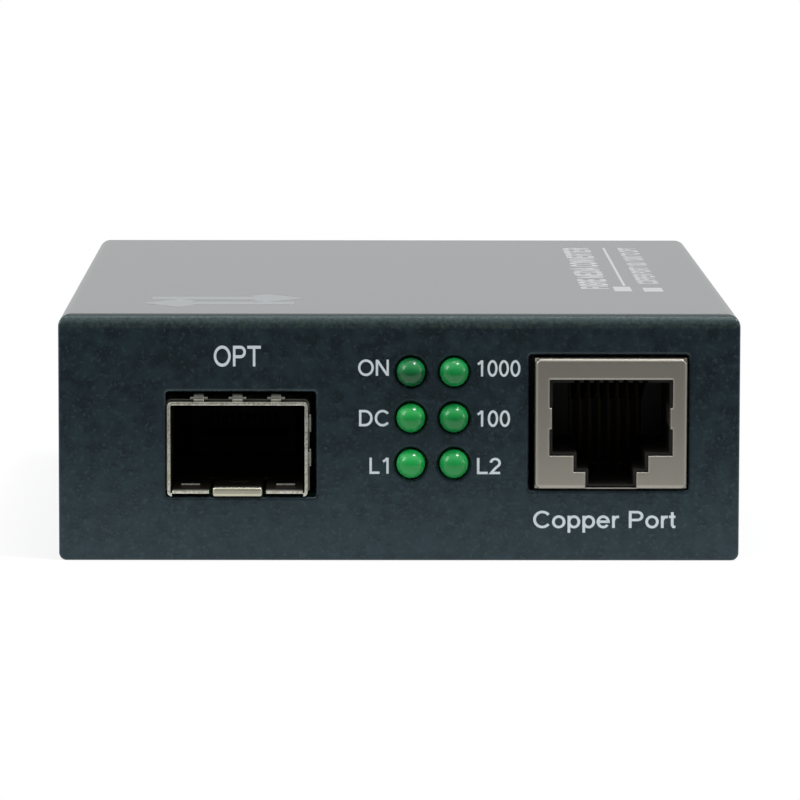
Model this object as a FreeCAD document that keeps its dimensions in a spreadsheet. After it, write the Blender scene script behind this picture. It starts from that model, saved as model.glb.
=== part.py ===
import FreeCAD, Part
import math
import os
import re
import Sketcher

# Fibre media converter: a folded steel case holding one circuit board with an
# optical module cage, a shielded copper jack and six indicator lamps at the front.
# X runs across the front, Y runs from the front face to the rear panel, Z is up.
# The origin is the middle of the footprint, on the surface that the case stands on.

SIZES = {
    # Case of two folded sheets
    "case_width": 71.0,
    "case_depth": 94.0,
    "cover_headroom": 3.52,
    "sheet_gauge": 1.0,
    "inside_bend": 0.3,
    "seam_gap": 0.2,
    "seat_gap": 0.15,
    "relief_radius": 0.6,
    "edge_ease": 0.3,
    "flange_corner": 0.8,
    "side_lift": 1.0,
    "flange_tall": 8.5,
    # Vent slots in both side walls
    "vent_wide": 1.6,
    "vent_tall": 9.0,
    "vent_pitch": 4.0,
    "vent_count": 10,
    "vent_up": 16.0,
    "vent_setback": 30.0,
    # Countersunk cover screws and pan head board screws
    "screw_radius": 1.5,
    "screw_gap": 0.1,
    "thread_gap": 0.05,
    "cover_head_radius": 2.45,
    "cover_screw_long": 4.0,
    "cover_screw_up": 4.6,
    "cover_screw_setback": 17.0,
    "pan_head_radius": 2.75,
    "pan_head_tall": 1.9,
    "board_screw_long": 5.0,
    "recess_long": 2.8,
    "recess_wide": 0.7,
    "recess_deep": 0.6,
    # Keyholes in the base for two wall screws
    "keyhole_radius": 3.5,
    "keyhole_slot_wide": 3.8,
    "keyhole_rise": 6.0,
    "keyhole_span": 50.0,
    # Circuit board on four standoffs
    "board_underside": 5.2,
    "board_gauge": 1.6,
    "board_side_gap": 4.3,
    "board_front_gap": 1.0,
    "board_rear_gap": 1.0,
    "board_corner": 1.0,
    "board_hole_gap": 0.15,
    "front_screw_setback": 26.5,
    "rear_screw_setback": 8.5,
    "screw_side_gap": 7.9,
    "standoff_radius": 2.8,
    "pilot_radius": 2.1,
    # Optical module cage
    "cage_side_gap": 18.65,
    "cage_inner_wide": 14.0,
    "cage_inner_tall": 8.95,
    "cage_gauge": 0.3,
    "cage_bend": 0.45,
    "cage_long": 48.7,
    "cage_proud": 0.5,
    "cage_gap_left": 0.15,
    "cage_gap_right": 0.85,
    "cage_gap_under": 0.1,
    "cage_gap_over": 1.05,
    "opening_corner": 0.3,
    "opening_ease": 0.35,
    "cage_sill_setback": 1.5,
    "cage_vent_radius": 1.0,
    "cage_vent_pitch": 3.6,
    "cage_vent_back": 20.7,
    "cage_vent_count": 5,
    "cage_pin_wide": 0.7,
    "cage_pin_long": 2.3,
    "cage_pin_point": 0.7,
    "cage_pin_setback": 6.5,
    "cage_pin_rear": 3.8,
    "cage_pin_count": 5,
    # Latch tongue in the cage floor
    "floor_gap": 0.05,
    "floor_back_gap": 2.0,
    "tongue_wide": 5.14,
    "tongue_slit": 0.4,
    "tongue_long": 11.0,
    "tongue_lip_tall": 1.0,
    "tongue_lip_deep": 0.8,
    "tongue_lip_corner": 0.2,
    "latch_hole_wide": 2.7,
    "latch_hole_setback": 5.6,
    "latch_hole_deep": 2.6,
    "lance_wide": 2.0,
    "lance_deep": 0.8,
    "lance_tall": 0.3,
    "lance_setback": 3.4,
    # Earthing collar with bowed fingers round the cage
    "collar_gauge": 0.2,
    "collar_deep": 3.4,
    "finger_wide": 1.05,
    "finger_wing_wide": 1.8,
    "finger_wing_deep": 0.4,
    "finger_reach": 1.2,
    "finger_top_rise": 0.85,
    "finger_side_rise": 0.5,
    "finger_pitch": 4.02,
    "finger_side_low": 4.05,
    "finger_side_pitch": 3.6,
    # Host connector at the back of the cage
    "host_back_gap": 15.7,
    "host_wide": 11.4,
    "host_deep": 9.4,
    "host_tall": 5.6,
    "host_slot_wide": 9.6,
    "host_slot_tall": 1.4,
    "host_slot_up": 3.2,
    "host_slot_deep": 6.0,
    "host_contact_pitch": 0.8,
    "host_contact_count": 10,
    "host_contact_gauge": 0.2,
    "host_contact_wide": 0.4,
    "host_contact_tail": 0.9,
    "host_groove_wide": 0.5,
    # Shielded copper jack
    "jack_side_gap": 13.45,
    "jack_wide": 15.84,
    "jack_tall": 13.69,
    "jack_long": 21.3,
    "jack_proud": 0.6,
    "jack_lift": 0.79,
    "jack_gap_left": 0.63,
    "jack_gap_right": 0.18,
    "jack_gap_under": 0.16,
    "jack_gap_over": 0.32,
    "shield_gauge": 0.25,
    "shield_bend": 0.4,
    "shield_floor": 2.0,
    "mouth_wide": 12.87,
    "mouth_up": 3.5,
    "mouth_tall": 7.99,
    "mouth_step_wide": 7.81,
    "mouth_step_drop": 1.71,
    "mouth_key_wide": 5.34,
    "mouth_key_drop": 1.64,
    "shield_tab_up": 6.3,
    "shield_tab_tall": 2.2,
    "shield_tab_long": 7.0,
    "shield_leg_wide": 1.6,
    "shield_leg_long": 2.6,
    "shield_leg_setback": 9.0,
    "housing_gap": 0.05,
    "cavity_rim": 0.33,
    "cavity_deep": 15.0,
    "groove_wide": 0.6,
    "groove_tall": 0.7,
    "wire_pitch": 1.02,
    "wire_count": 8,
    "wire_gauge": 0.35,
    "wire_start": 1.8,
    "wire_reach": 9.0,
    "wire_drop": 2.9,
    "wire_wall": 0.8,
    "wire_tail": 2.6,
    "peg_radius": 1.6,
    "peg_long": 1.8,
    "peg_across": 5.7,
    "peg_setback": 12.0,
    # Six indicator lamps in a black holder
    "led_across": 1.2,
    "led_column_pitch": 4.5,
    "led_low": 10.2,
    "led_row_pitch": 4.8,
    "led_radius": 1.5,
    "led_tip_flat": 0.1,
    "led_proud": 1.5,
    "led_gap": 0.12,
    "led_long": 5.3,
    "led_rim_radius": 1.9,
    "led_rim_long": 1.0,
    "holder_gap": 0.08,
    "holder_wall": 0.3,
    "holder_deep": 3.6,
    "holder_slack": 0.1,
    "lead_wide": 0.5,
    "lead_span": 2.54,
    "lead_turn": 2.2,
    "lead_turn_pitch": 2.3,
    "lead_tail": 1.2,
    "lead_hole_gap": 0.2,
    # Power inlet in the rear panel
    "inlet_side_gap": 15.5,
    "inlet_wide": 9.0,
    "inlet_tall": 11.0,
    "inlet_top_ease": 1.1,
    "inlet_deep": 13.4,
    "inlet_axis_up": 6.5,
    "inlet_collar_radius": 3.9,
    "inlet_gap": 0.15,
    "inlet_bore_radius": 3.15,
    "inlet_bore_deep": 9.5,
    "inlet_pin_radius": 1.0,
    "inlet_pin_short": 1.0,
    "inlet_spring_gauge": 0.3,
    "inlet_spring_wide": 2.4,
    "inlet_spring_setback": 3.0,
    "inlet_tag_tail": 2.8,
    # Line transformer behind the copper jack
    "line_side_gap": 18.0,
    "line_along": -8.8,
    "line_wide": 9.8,
    "line_long": 15.2,
    "line_tall": 5.6,
    "line_pin_pitch": 1.27,
    "line_pin_count": 10,
    # Converter chip
    "chip_across": 5.5,
    "chip_along": 11.0,
    "chip_wide": 14.0,
    "chip_tall": 1.4,
    "chip_pin_pitch": 0.8,
    "chip_pin_count": 16,
    # Gull wing pins and package standing height
    "pin_reach": 1.0,
    "pin_gauge": 0.15,
    "pin_wide": 0.35,
    "pin_up": 0.6,
    "package_lift": 0.1,
    "package_draft": 0.25,
    "package_dot_inset": 1.0,
    "package_dot_radius": 0.4,
    "package_dot_deep": 0.12,
    # Memory chip, optocoupler and regulator
    "memory_across": 2.0,
    "memory_along": -6.0,
    "memory_wide": 3.9,
    "memory_long": 4.9,
    "memory_tall": 1.5,
    "memory_pin_pitch": 1.27,
    "memory_pin_count": 4,
    "coupler_core_gap": 5.2,
    "coupler_wide": 6.5,
    "coupler_long": 4.6,
    "coupler_tall": 3.4,
    "coupler_pin_pitch": 2.54,
    "coupler_pin_count": 2,
    "regulator_side_gap": 14.5,
    "regulator_along": 10.0,
    "regulator_wide": 6.5,
    "regulator_long": 6.1,
    "regulator_tall": 2.3,
    "regulator_tab_wide": 5.2,
    "regulator_tab_reach": 1.6,
    "regulator_tab_gauge": 0.5,
    "regulator_pin_across": 2.2,
    # Crystal can
    "crystal_across": 2.0,
    "crystal_along": -18.0,
    "crystal_long": 11.0,
    "crystal_wide": 4.6,
    "crystal_tall": 3.5,
    "crystal_flange": 0.5,
    "crystal_flange_tall": 0.5,
    # Power transformer with a ferrite core on a bobbin
    "core_cage_gap": 11.05,
    "core_wide": 13.0,
    "core_deep": 6.4,
    "core_tall": 11.0,
    "core_leg": 2.2,
    "core_lift": 1.2,
    "core_post_radius": 2.3,
    "bobbin_flange": 0.8,
    "bobbin_wide": 15.4,
    "bobbin_deep": 13.0,
    "winding_radius": 3.9,
    "bobbin_gap": 0.1,
    # Shielded inductor
    "inductor_across": 9.0,
    "inductor_along": 24.5,
    "inductor_wide": 7.3,
    "inductor_tall": 4.5,
    "inductor_corner": 1.8,
    "inductor_foot_tall": 0.5,
    # Electrolytic capacitors
    "reservoir_across": 1.5,
    "reservoir_along": 33.0,
    "reservoir_radius": 4.0,
    "reservoir_tall": 11.5,
    "filter_across": -5.5,
    "filter_along": 30.5,
    "filter_radius": 3.15,
    "filter_tall": 11.0,
    "output_across": 10.5,
    "output_along": 32.0,
    "output_radius": 2.5,
    "output_tall": 11.0,
    "can_base_tall": 1.0,
    "can_groove_up": 1.9,
    "can_groove_radius": 0.35,
    "can_top_ease": 0.5,
    # Small resistors and capacitors in one row
    "bit_long": 2.0,
    "bit_wide": 1.25,
    "bit_tall": 0.7,
    "bit_cap": 0.35,
    "bit_lift": 0.05,
    "bit_pitch": 2.6,
    "bit_count": 6,
    "bit_side_gap": 13.0,
    "bit_along": 16.5,
}

PLANES = {"X": ("YZ_Plane", 1), "Y": ("XZ_Plane", -1), "Z": ("XY_Plane", 1)}
CLOSE = 1e-4

os.makedirs("parts", exist_ok=True)
doc = FreeCAD.newDocument("fibre_media_converter")
sheet = doc.addObject("Spreadsheet::Sheet", "sizes")
for line, (alias, value) in enumerate(SIZES.items(), start=1):
    sheet.set(f"A{line}", alias)
    sheet.set(f"B{line}", str(value))
    sheet.setAlias(f"B{line}", alias)
doc.recompute()

# Planes and heights that several pieces share, as formulas on the sheet
FRONT = "(led_proud / 2 - case_depth / 2)"
REAR = "(led_proud / 2 + case_depth / 2)"
HALF_WIDTH = "(case_width / 2)"
CASE_TOP = "(board_underside + board_gauge + jack_lift + jack_tall + cover_headroom + sheet_gauge)"
BEND = "(sheet_gauge + inside_bend)"
BASE_HALF = "(case_width / 2 - sheet_gauge - seat_gap)"
BASE_FRONT = f"({FRONT} + sheet_gauge + seat_gap)"
BASE_TOP = f"({CASE_TOP} - sheet_gauge - seat_gap)"
COVER_HEAD_TALL = "(cover_head_radius - screw_radius)"
BOARD_TOP = "(board_underside + board_gauge)"
BOARD_FRONT = f"({FRONT} + sheet_gauge + board_front_gap)"
BOARD_REAR = f"({REAR} - sheet_gauge - board_rear_gap)"
SCREW_ACROSS = f"({HALF_WIDTH} - screw_side_gap)"
CAGE_ACROSS = f"(cage_side_gap - {HALF_WIDTH})"
CAGE_HALF = "(cage_inner_wide / 2 + cage_gauge)"
CAGE_TALL = "(cage_inner_tall + 3 * cage_gauge)"
CAGE_FRONT = f"({FRONT} - cage_proud)"
CAGE_PIN_PITCH = "((cage_long - cage_pin_setback - cage_pin_rear) / (cage_pin_count - 1))"
HOST_FRONT = "(cage_long - host_back_gap)"
FLOOR_LONG = f"({HOST_FRONT} - floor_back_gap)"
TONGUE_HALF = "(tongue_wide / 2 + tongue_slit)"
JACK_ACROSS = f"({HALF_WIDTH} - jack_side_gap)"
JACK_LOW = f"({BOARD_TOP} + jack_lift)"
JACK_FRONT = f"({FRONT} - jack_proud)"
LED_BASE = f"({FRONT} - led_proud + led_long)"
HOLDER_FRONT = f"({FRONT} + sheet_gauge + holder_gap)"
HOLDER_BACK = f"({HOLDER_FRONT} + holder_deep)"
CORE_ALONG = f"({CAGE_FRONT} + cage_long + core_cage_gap + bobbin_deep / 2)"
SEATS = {
    "chip": ("chip_across", "chip_along"),
    "memory": ("memory_across", "memory_along"),
    "coupler": (CAGE_ACROSS, f"{CORE_ALONG} + bobbin_deep / 2 + coupler_core_gap + coupler_long / 2"),
    "line": (f"{HALF_WIDTH} - line_side_gap", "line_along"),
    "regulator": (f"{HALF_WIDTH} - regulator_side_gap", "regulator_along"),
    "crystal": ("crystal_across", "crystal_along"),
    "core": (CAGE_ACROSS, CORE_ALONG),
    "inductor": ("inductor_across", "inductor_along"),
    "reservoir": ("reservoir_across", "reservoir_along"),
    "filter": ("filter_across", "filter_along"),
    "output": ("output_across", "output_along"),
    "bit": (f"{HALF_WIDTH} - bit_side_gap", "bit_along"),
}
INLET_ACROSS = f"({HALF_WIDTH} - inlet_side_gap)"
INLET_FACE = f"({REAR} - sheet_gauge - inlet_gap)"
BOARD_SCREWS = [
    (side, along)
    for along in (f"{FRONT} + front_screw_setback", f"{REAR} - rear_screw_setback")
    for side in (-1, 1)
]
COVER_SCREWS = [
    (side, along)
    for along in (f"{FRONT} + cover_screw_setback", f"{REAR} - cover_screw_setback")
    for side in (-1, 1)
]
CAGE_PINS = [f"cage_pin_setback + {number} * {CAGE_PIN_PITCH}" for number in range(SIZES["cage_pin_count"])]
LED_SPOTS = [(column, level) for level in range(3) for column in range(2)]


# Small tools for drawing and shaping one piece

def linked(formula):
    """The formula with its sheet names spelled as links to the sheet."""
    return re.sub(r"\b([a-z]+(?:_[a-z]+)+)\b", r"sizes.\1", str(formula))


def worth(formula):
    """What a formula on the sheet comes to."""
    return float(sheet.evalExpression(str(formula)))


def spot(u, v):
    """A point of a sketch from two formulas."""
    return FreeCAD.Vector(worth(u), worth(v), 0)


def bind(item, key, formula):
    item.setExpression(key, linked(formula))


def datum(body, role):
    return [item for item in body.Origin.OriginFeatures if item.Role == role][0]


def new_body(name, loose=False):
    """An empty piece; a loose one may end as several solids of one kind."""
    body = doc.addObject("PartDesign::Body", name)
    body.Label = name
    body.AllowCompound = loose
    return body


def seat(body, across="0", along="0", up="0", turn=None):
    """Puts a piece drawn round its own origin in its place."""
    if turn:
        axis, angle = turn
        body.Placement = FreeCAD.Placement(FreeCAD.Vector(), FreeCAD.Rotation(axis, angle))
    bind(body, "Placement.Base.x", across)
    bind(body, "Placement.Base.y", along)
    bind(body, "Placement.Base.z", up)
    doc.recompute()
    return body


def sketch(body, name, axis, at="0"):
    """A sketch square to an axis; its own two axes keep the piece's directions."""
    role, facing = PLANES[axis]
    drawing = body.newObject("Sketcher::SketchObject", f"{body.Name}_{name}")
    drawing.AttachmentSupport = [(datum(body, role), "")]
    drawing.MapMode = "FlatFace"
    bind(drawing, "AttachmentOffset.Base.z", at if facing > 0 else f"-({at})")
    return drawing


def pin(drawing, geometry, point, u, v):
    """Holds one point of a line or circle at two formulas."""
    for kind, formula in (("DistanceX", u), ("DistanceY", v)):
        number = drawing.addConstraint(Sketcher.Constraint(kind, -1, 1, geometry, point, worth(formula)))
        bind(drawing, f"Constraints[{number}]", formula)


def outline(drawing, corners):
    """Closed loop of straight runs; a corner's third value rounds it."""
    spots = [(worth(corner[0]), worth(corner[1])) for corner in corners]
    count = len(corners)
    arrive, leave, centres = [], [], []
    for index, corner in enumerate(corners):
        radius = corner[2] if len(corner) > 2 else "0"
        ways = []
        for other in (index - 1, (index + 1) % count):
            run = (spots[other][0] - spots[index][0], spots[other][1] - spots[index][1])
            length = math.hypot(*run)
            ways.append((round(run[0] / length, 6), round(run[1] / length, 6)))
        for ends, way in zip((arrive, leave), ways):
            ends.append(tuple(f"({corner[axis]}) + {way[axis]} * ({radius})" for axis in (0, 1)))
        both = [ways[0][axis] + ways[1][axis] for axis in (0, 1)]
        centres.append(tuple(f"({corner[axis]}) + {both[axis]} * ({radius})" for axis in (0, 1)))
    runs = []
    for index in range(count):
        start = leave[index]
        end = arrive[(index + 1) % count]
        run = drawing.addGeometry(Part.LineSegment(spot(*start), spot(*end)), False)
        pin(drawing, run, 1, *start)
        runs.append((run, end))
    for index in range(count):
        run, end = runs[index]
        following = (index + 1) % count
        if len(corners[following]) < 3:
            drawing.addConstraint(Sketcher.Constraint("Coincident", run, 2, runs[following][0], 1))
            continue
        pin(drawing, run, 2, *end)
        round_corner(drawing, run, runs[following][0], centres[following])


def round_corner(drawing, before, after, centre):
    """Arc from the end of one run to the start of the next."""
    begin = drawing.getPoint(before, 2)
    finish = drawing.getPoint(after, 1)
    middle = spot(*centre)
    first = math.atan2(begin.y - middle.y, begin.x - middle.x)
    last = math.atan2(finish.y - middle.y, finish.x - middle.x)
    forward = (last - first) % (2 * math.pi) < math.pi + CLOSE
    ring = Part.Circle(middle, FreeCAD.Vector(0, 0, 1), (begin - middle).Length)
    ends = (first, last) if forward else (last, first)
    arc = drawing.addGeometry(Part.ArcOfCircle(ring, *ends), False)
    drawing.addConstraint(Sketcher.Constraint("Coincident", before, 2, arc, 1 if forward else 2))
    drawing.addConstraint(Sketcher.Constraint("Coincident", after, 1, arc, 2 if forward else 1))
    number = drawing.addConstraint(Sketcher.Constraint("DistanceY", -1, 1, arc, 3, middle.y))
    bind(drawing, f"Constraints[{number}]", centre[1])


def rectangle(drawing, left, right, low, high, radius=None):
    rounding = (radius,) if radius else ()
    outline(drawing, [(left, low) + rounding, (right, low) + rounding,
                      (right, high) + rounding, (left, high) + rounding])


def stadium(drawing, u, v, length, width):
    """Slot with round ends, its long way along the sketch's second axis."""
    reach = f"(({length}) - ({width})) / 2"
    half = f"({width}) / 2"
    runs = []
    for side in (1, -1):
        ends = [(f"({u}) + {side} * {half}", f"({v}) - {way} * {reach}") for way in (side, -side)]
        run = drawing.addGeometry(Part.LineSegment(*[spot(*end) for end in ends]), False)
        for point, end in enumerate(ends, start=1):
            pin(drawing, run, point, *end)
        runs.append(run)
    right, left = runs
    round_corner(drawing, right, left, (u, f"({v}) + {reach}"))
    round_corner(drawing, left, right, (u, f"({v}) - {reach}"))


def circle(drawing, u, v, radius):
    ring = drawing.addGeometry(Part.Circle(spot(u, v), FreeCAD.Vector(0, 0, 1), worth(radius)), False)
    pin(drawing, ring, 3, u, v)
    number = drawing.addConstraint(Sketcher.Constraint("Radius", ring, worth(radius)))
    bind(drawing, f"Constraints[{number}]", radius)


def sweep_straight(kind, drawing, length, forward, middle):
    body = drawing.getParentGeoFeatureGroup()
    feature = body.newObject(kind, f"{drawing.Name}_{'pad' if kind.endswith('Pad') else 'cut'}")
    feature.Profile = drawing
    bind(feature, "Length", length)
    if middle:
        feature.SideType = "Symmetric"
    facing = 1 if drawing.AttachmentSupport[0][0].Role != "XZ_Plane" else -1
    outward = facing > 0 if kind.endswith("Pad") else facing < 0
    feature.Reversed = forward != outward
    doc.recompute()
    return feature


def pad(drawing, length, forward=True, middle=False):
    """Material from a sketch, towards plus or minus its axis, or half each way."""
    return sweep_straight("PartDesign::Pad", drawing, length, forward, middle)


def cut(drawing, length, forward=True, middle=False):
    """The same, taken away; a cut that takes nothing is an error."""
    body = drawing.getParentGeoFeatureGroup()
    before = body.Tip.Shape.Volume
    feature = sweep_straight("PartDesign::Pocket", drawing, length, forward, middle)
    if feature.Shape.Volume > before - CLOSE * CLOSE:
        raise ValueError(f"{feature.Name} takes nothing away")
    return feature


def turned(body, name, corners):
    """Solid of revolution round the piece's own Z axis, from (radius, height) corners."""
    drawing = sketch(body, name, "Y")
    outline(drawing, corners)
    feature = body.newObject("PartDesign::Revolution", f"{body.Name}_{name}_turned")
    feature.Profile = drawing
    feature.ReferenceAxis = (drawing, ["V_Axis"])
    doc.recompute()
    return feature


def block(body, name, left, right, front, back, low, high, radius=None):
    """Straight-sided block, its upright edges rounded if a radius is given."""
    drawing = sketch(body, name, "Z", low)
    rectangle(drawing, left, right, front, back, radius)
    return pad(drawing, f"({high}) - ({low})")


def row(body, features, axis, pitch, count, forward=True):
    pattern = body.newObject("PartDesign::LinearPattern", f"{body.Name}_row")
    pattern.Originals = features
    pattern.Direction = (datum(body, f"{axis}_Axis"), [""])
    pattern.Reversed = not forward
    bind(pattern, "Length", f"({pitch}) * ({count} - 1)")
    bind(pattern, "Occurrences", count)
    body.Tip = pattern
    doc.recompute()
    return pattern


def mirror(body, features, role):
    copy = body.newObject("PartDesign::Mirrored", f"{body.Name}_mirror")
    copy.Originals = features
    copy.MirrorPlane = (datum(body, role), [""])
    body.Tip = copy
    doc.recompute()
    return copy


def lies(thing, **planes):
    """True where an edge or face lies wholly in each plane named, such as Z="0"."""
    box = thing.BoundBox
    return all(
        abs(getattr(box, f"{axis}Min") - worth(formula)) < 1e-3
        and abs(getattr(box, f"{axis}Max") - worth(formula)) < 1e-3
        for axis, formula in planes.items()
    )


def dress(body, kind, name, key, formula, chosen, things="Edge"):
    """Fillet, chamfer or hollowing of the edges or faces that a test picks."""
    base = body.Tip
    shape = base.Shape
    picked = [
        f"{things}{number}"
        for number, thing in enumerate(shape.Edges if things == "Edge" else shape.Faces, start=1)
        if chosen(thing)
    ]
    if not picked:
        raise ValueError(f"{body.Name} has no {things} for {name}")
    feature = body.newObject(f"PartDesign::{kind}", f"{body.Name}_{name}")
    feature.Base = (base, picked)
    bind(feature, key, formula)
    body.Tip = feature
    doc.recompute()
    return feature


def fillet(body, name, radius, chosen):
    return dress(body, "Fillet", name, "Radius", radius, chosen)


def chamfer(body, name, size, chosen):
    return dress(body, "Chamfer", name, "Size", size, chosen)


def hollow(body, name, gauge, chosen):
    """Leaves a sheet of one gauge inside the faces that stay."""
    feature = dress(body, "Thickness", name, "Value", gauge, chosen, "Face")
    feature.Reversed = True
    doc.recompute()
    return feature


# Case

def at_side(edge):
    return lies(edge, X=HALF_WIDTH) or lies(edge, X=f"-{HALF_WIDTH}")


def cover():
    """Top, front flange and both sides, folded from one sheet."""
    body = new_body("cover")
    block(body, "blank", f"-{HALF_WIDTH}", HALF_WIDTH, FRONT, REAR, "0", CASE_TOP)
    fillet(body, "bends", BEND,
           lambda edge: lies(edge, Z=CASE_TOP) and not lies(edge, Y=REAR))
    hollow(body, "fold", "sheet_gauge",
           lambda face: lies(face, Z="0") or lies(face, Y=REAR))

    # Seam between the front flange and each side, ending in a round relief
    behind = f"{FRONT} + sheet_gauge"
    seam = sketch(body, "seam", "X", HALF_WIDTH)
    rectangle(seam, behind, f"{behind} + seam_gap", "-sheet_gauge", f"{CASE_TOP} - {BEND}")
    slit = cut(seam, BEND, forward=False)
    relief = sketch(body, "relief", "X", HALF_WIDTH)
    circle(relief, f"{behind} + seam_gap / 2", f"{CASE_TOP} - {BEND}", "relief_radius")
    notch = cut(relief, BEND, forward=False)
    mirror(body, [slit, notch], "YZ_Plane")
    hems = sketch(body, "hems", "X")
    rectangle(hems, behind, f"{REAR} + sheet_gauge", "-sheet_gauge", "side_lift")
    cut(hems, "2 * case_width", middle=True)
    fillet(body, "lower_corners", "flange_corner",
           lambda edge: at_side(edge) and lies(edge, Z="0") and edge.BoundBox.YMax < worth(behind) + CLOSE)
    fillet(body, "front_ends", "edge_ease",
           lambda edge: at_side(edge) and lies(edge, Y=FRONT))

    # Front openings for the cage, the lamps and the jack
    openings = sketch(body, "openings", "Y", FRONT)
    rectangle(openings,
              f"{CAGE_ACROSS} - {CAGE_HALF} - cage_gap_left", f"{CAGE_ACROSS} + {CAGE_HALF} + cage_gap_right",
              f"{BOARD_TOP} - cage_gap_under", f"{BOARD_TOP} + {CAGE_TALL} + cage_gap_over",
              "opening_corner")
    rectangle(openings,
              f"{JACK_ACROSS} - jack_wide / 2 - jack_gap_left",
              f"{JACK_ACROSS} + jack_wide / 2 + jack_gap_right",
              f"{JACK_LOW} - jack_gap_under", f"{JACK_LOW} + jack_tall + jack_gap_over",
              "opening_corner")
    for column, level in LED_SPOTS:
        circle(openings, f"led_across + {column} * led_column_pitch",
               f"led_low + {level} * led_row_pitch", "led_radius + led_gap")
    cut(openings, "sheet_gauge")
    rim = "2 * flange_corner"
    fillet(body, "opening_edges", "opening_ease",
           lambda edge: lies(edge, Y=FRONT)
           and abs(edge.BoundBox.Center.x) < worth(f"{HALF_WIDTH} - {rim}")
           and worth(rim) < edge.BoundBox.Center.z < worth(f"{CASE_TOP} - {BEND}") - CLOSE)

    # Vent slots and countersunk screw holes in both sides
    vent = sketch(body, "vent", "X")
    stadium(vent, f"{FRONT} + vent_setback", "vent_up", "vent_tall", "vent_wide")
    slot = cut(vent, "2 * case_width", middle=True)
    row(body, [slot], "Y", "vent_pitch", "vent_count")
    screws = sketch(body, "screws", "X")
    for along in sorted({along for side, along in COVER_SCREWS}):
        circle(screws, along, "cover_screw_up", "screw_radius + screw_gap")
    cut(screws, "2 * case_width", middle=True)
    bore = worth("2 * (screw_radius + screw_gap)")
    chamfer(body, "countersinks", COVER_HEAD_TALL,
            lambda edge: at_side(edge) and abs(edge.BoundBox.YLength - bore) < CLOSE
            and abs(edge.BoundBox.ZLength - bore) < CLOSE)
    return body


def base():
    """Floor, side flanges and rear panel, folded from one sheet."""
    body = new_body("base")
    block(body, "blank", f"-{BASE_HALF}", BASE_HALF, BASE_FRONT, REAR, "0", BASE_TOP)
    fillet(body, "bends", BEND,
           lambda edge: lies(edge, Z="0") and not lies(edge, Y=BASE_FRONT))
    hollow(body, "fold", "sheet_gauge",
           lambda face: lies(face, Z=BASE_TOP) or lies(face, Y=BASE_FRONT))
    sides = sketch(body, "sides", "X")
    behind = f"{REAR} - sheet_gauge"
    outline(sides, [
        (f"{BASE_FRONT} - sheet_gauge", "flange_tall"),
        (f"{behind} - seam_gap", "flange_tall"),
        (f"{behind} - seam_gap", BEND),
        (behind, BEND),
        (behind, CASE_TOP),
        (f"{BASE_FRONT} - sheet_gauge", CASE_TOP),
    ])
    cut(sides, "2 * case_width", middle=True)
    threads = sketch(body, "threads", "X")
    for along in sorted({along for side, along in COVER_SCREWS}):
        circle(threads, along, "cover_screw_up", "screw_radius + thread_gap")
    cut(threads, "2 * case_width", middle=True)

    # Standoff seats, keyholes for a wall and the hole for the power inlet
    seats = sketch(body, "seats", "Z")
    for side, along in BOARD_SCREWS:
        circle(seats, f"{side} * {SCREW_ACROSS}", along, "pilot_radius + thread_gap")
    cut(seats, "sheet_gauge")
    for name, way in (("front", -1), ("rear", 1)):
        along = f"{way} * keyhole_span / 2"
        entry = sketch(body, f"{name}_keyhole", "Z")
        circle(entry, "0", along, "keyhole_radius")
        cut(entry, "sheet_gauge")
        slot = sketch(body, f"{name}_keyhole_slot", "Z")
        stadium(slot, "0", f"{along} + keyhole_rise / 2",
                "keyhole_rise + keyhole_slot_wide", "keyhole_slot_wide")
        cut(slot, "sheet_gauge")
    inlet = sketch(body, "inlet", "Y", REAR)
    circle(inlet, INLET_ACROSS, f"{BOARD_TOP} + inlet_axis_up", "inlet_collar_radius + inlet_gap")
    cut(inlet, "sheet_gauge", forward=False)
    return body


def cross_recess(body, top):
    """Cross-shaped driver recess in a screw head."""
    cross = sketch(body, "recess", "Z", top)
    arm = "(recess_long / 2)"
    half = "(recess_wide / 2)"
    outline(cross, [
        (half, half), (half, arm), (f"-{half}", arm), (f"-{half}", half),
        (f"-{arm}", half), (f"-{arm}", f"-{half}"), (f"-{half}", f"-{half}"), (f"-{half}", f"-{arm}"),
        (half, f"-{arm}"), (half, f"-{half}"), (arm, f"-{half}"), (arm, half),
    ])
    cut(cross, "recess_deep", forward=False)


def cover_screws():
    for number, (side, along) in enumerate(COVER_SCREWS, start=1):
        body = new_body(f"cover_screw_{number}")
        turned(body, "profile", [
            ("0", "0"),
            ("cover_head_radius", "0"),
            ("screw_radius", f"-{COVER_HEAD_TALL}"),
            ("screw_radius", "-cover_screw_long"),
            ("0", "-cover_screw_long"),
        ])
        cross_recess(body, "0")
        seat(body, f"{side} * {HALF_WIDTH}", along, "cover_screw_up",
             (FreeCAD.Vector(0, 1, 0), side * 90))


def board_screws():
    for number, (side, along) in enumerate(BOARD_SCREWS, start=1):
        body = new_body(f"board_screw_{number}")
        turned(body, "profile", [
            ("0", "pan_head_tall"),
            ("pan_head_radius", "pan_head_tall", "pan_head_tall / 2"),
            ("pan_head_radius", "0"),
            ("screw_radius", "0"),
            ("screw_radius", "-board_screw_long"),
            ("0", "-board_screw_long"),
        ])
        cross_recess(body, "pan_head_tall")
        seat(body, f"{side} * {SCREW_ACROSS}", along, BOARD_TOP)


def standoffs():
    """Threaded posts pressed into the floor of the base, flush underneath."""
    for number, (side, along) in enumerate(BOARD_SCREWS, start=1):
        body = new_body(f"standoff_{number}")
        turned(body, "profile", [
            ("screw_radius + thread_gap", "0"),
            ("pilot_radius", "0"),
            ("pilot_radius", "sheet_gauge"),
            ("standoff_radius", "sheet_gauge"),
            ("standoff_radius", "board_underside"),
            ("screw_radius + thread_gap", "board_underside"),
        ])
        seat(body, f"{side} * {SCREW_ACROSS}", along, "0")


# Circuit board

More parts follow.
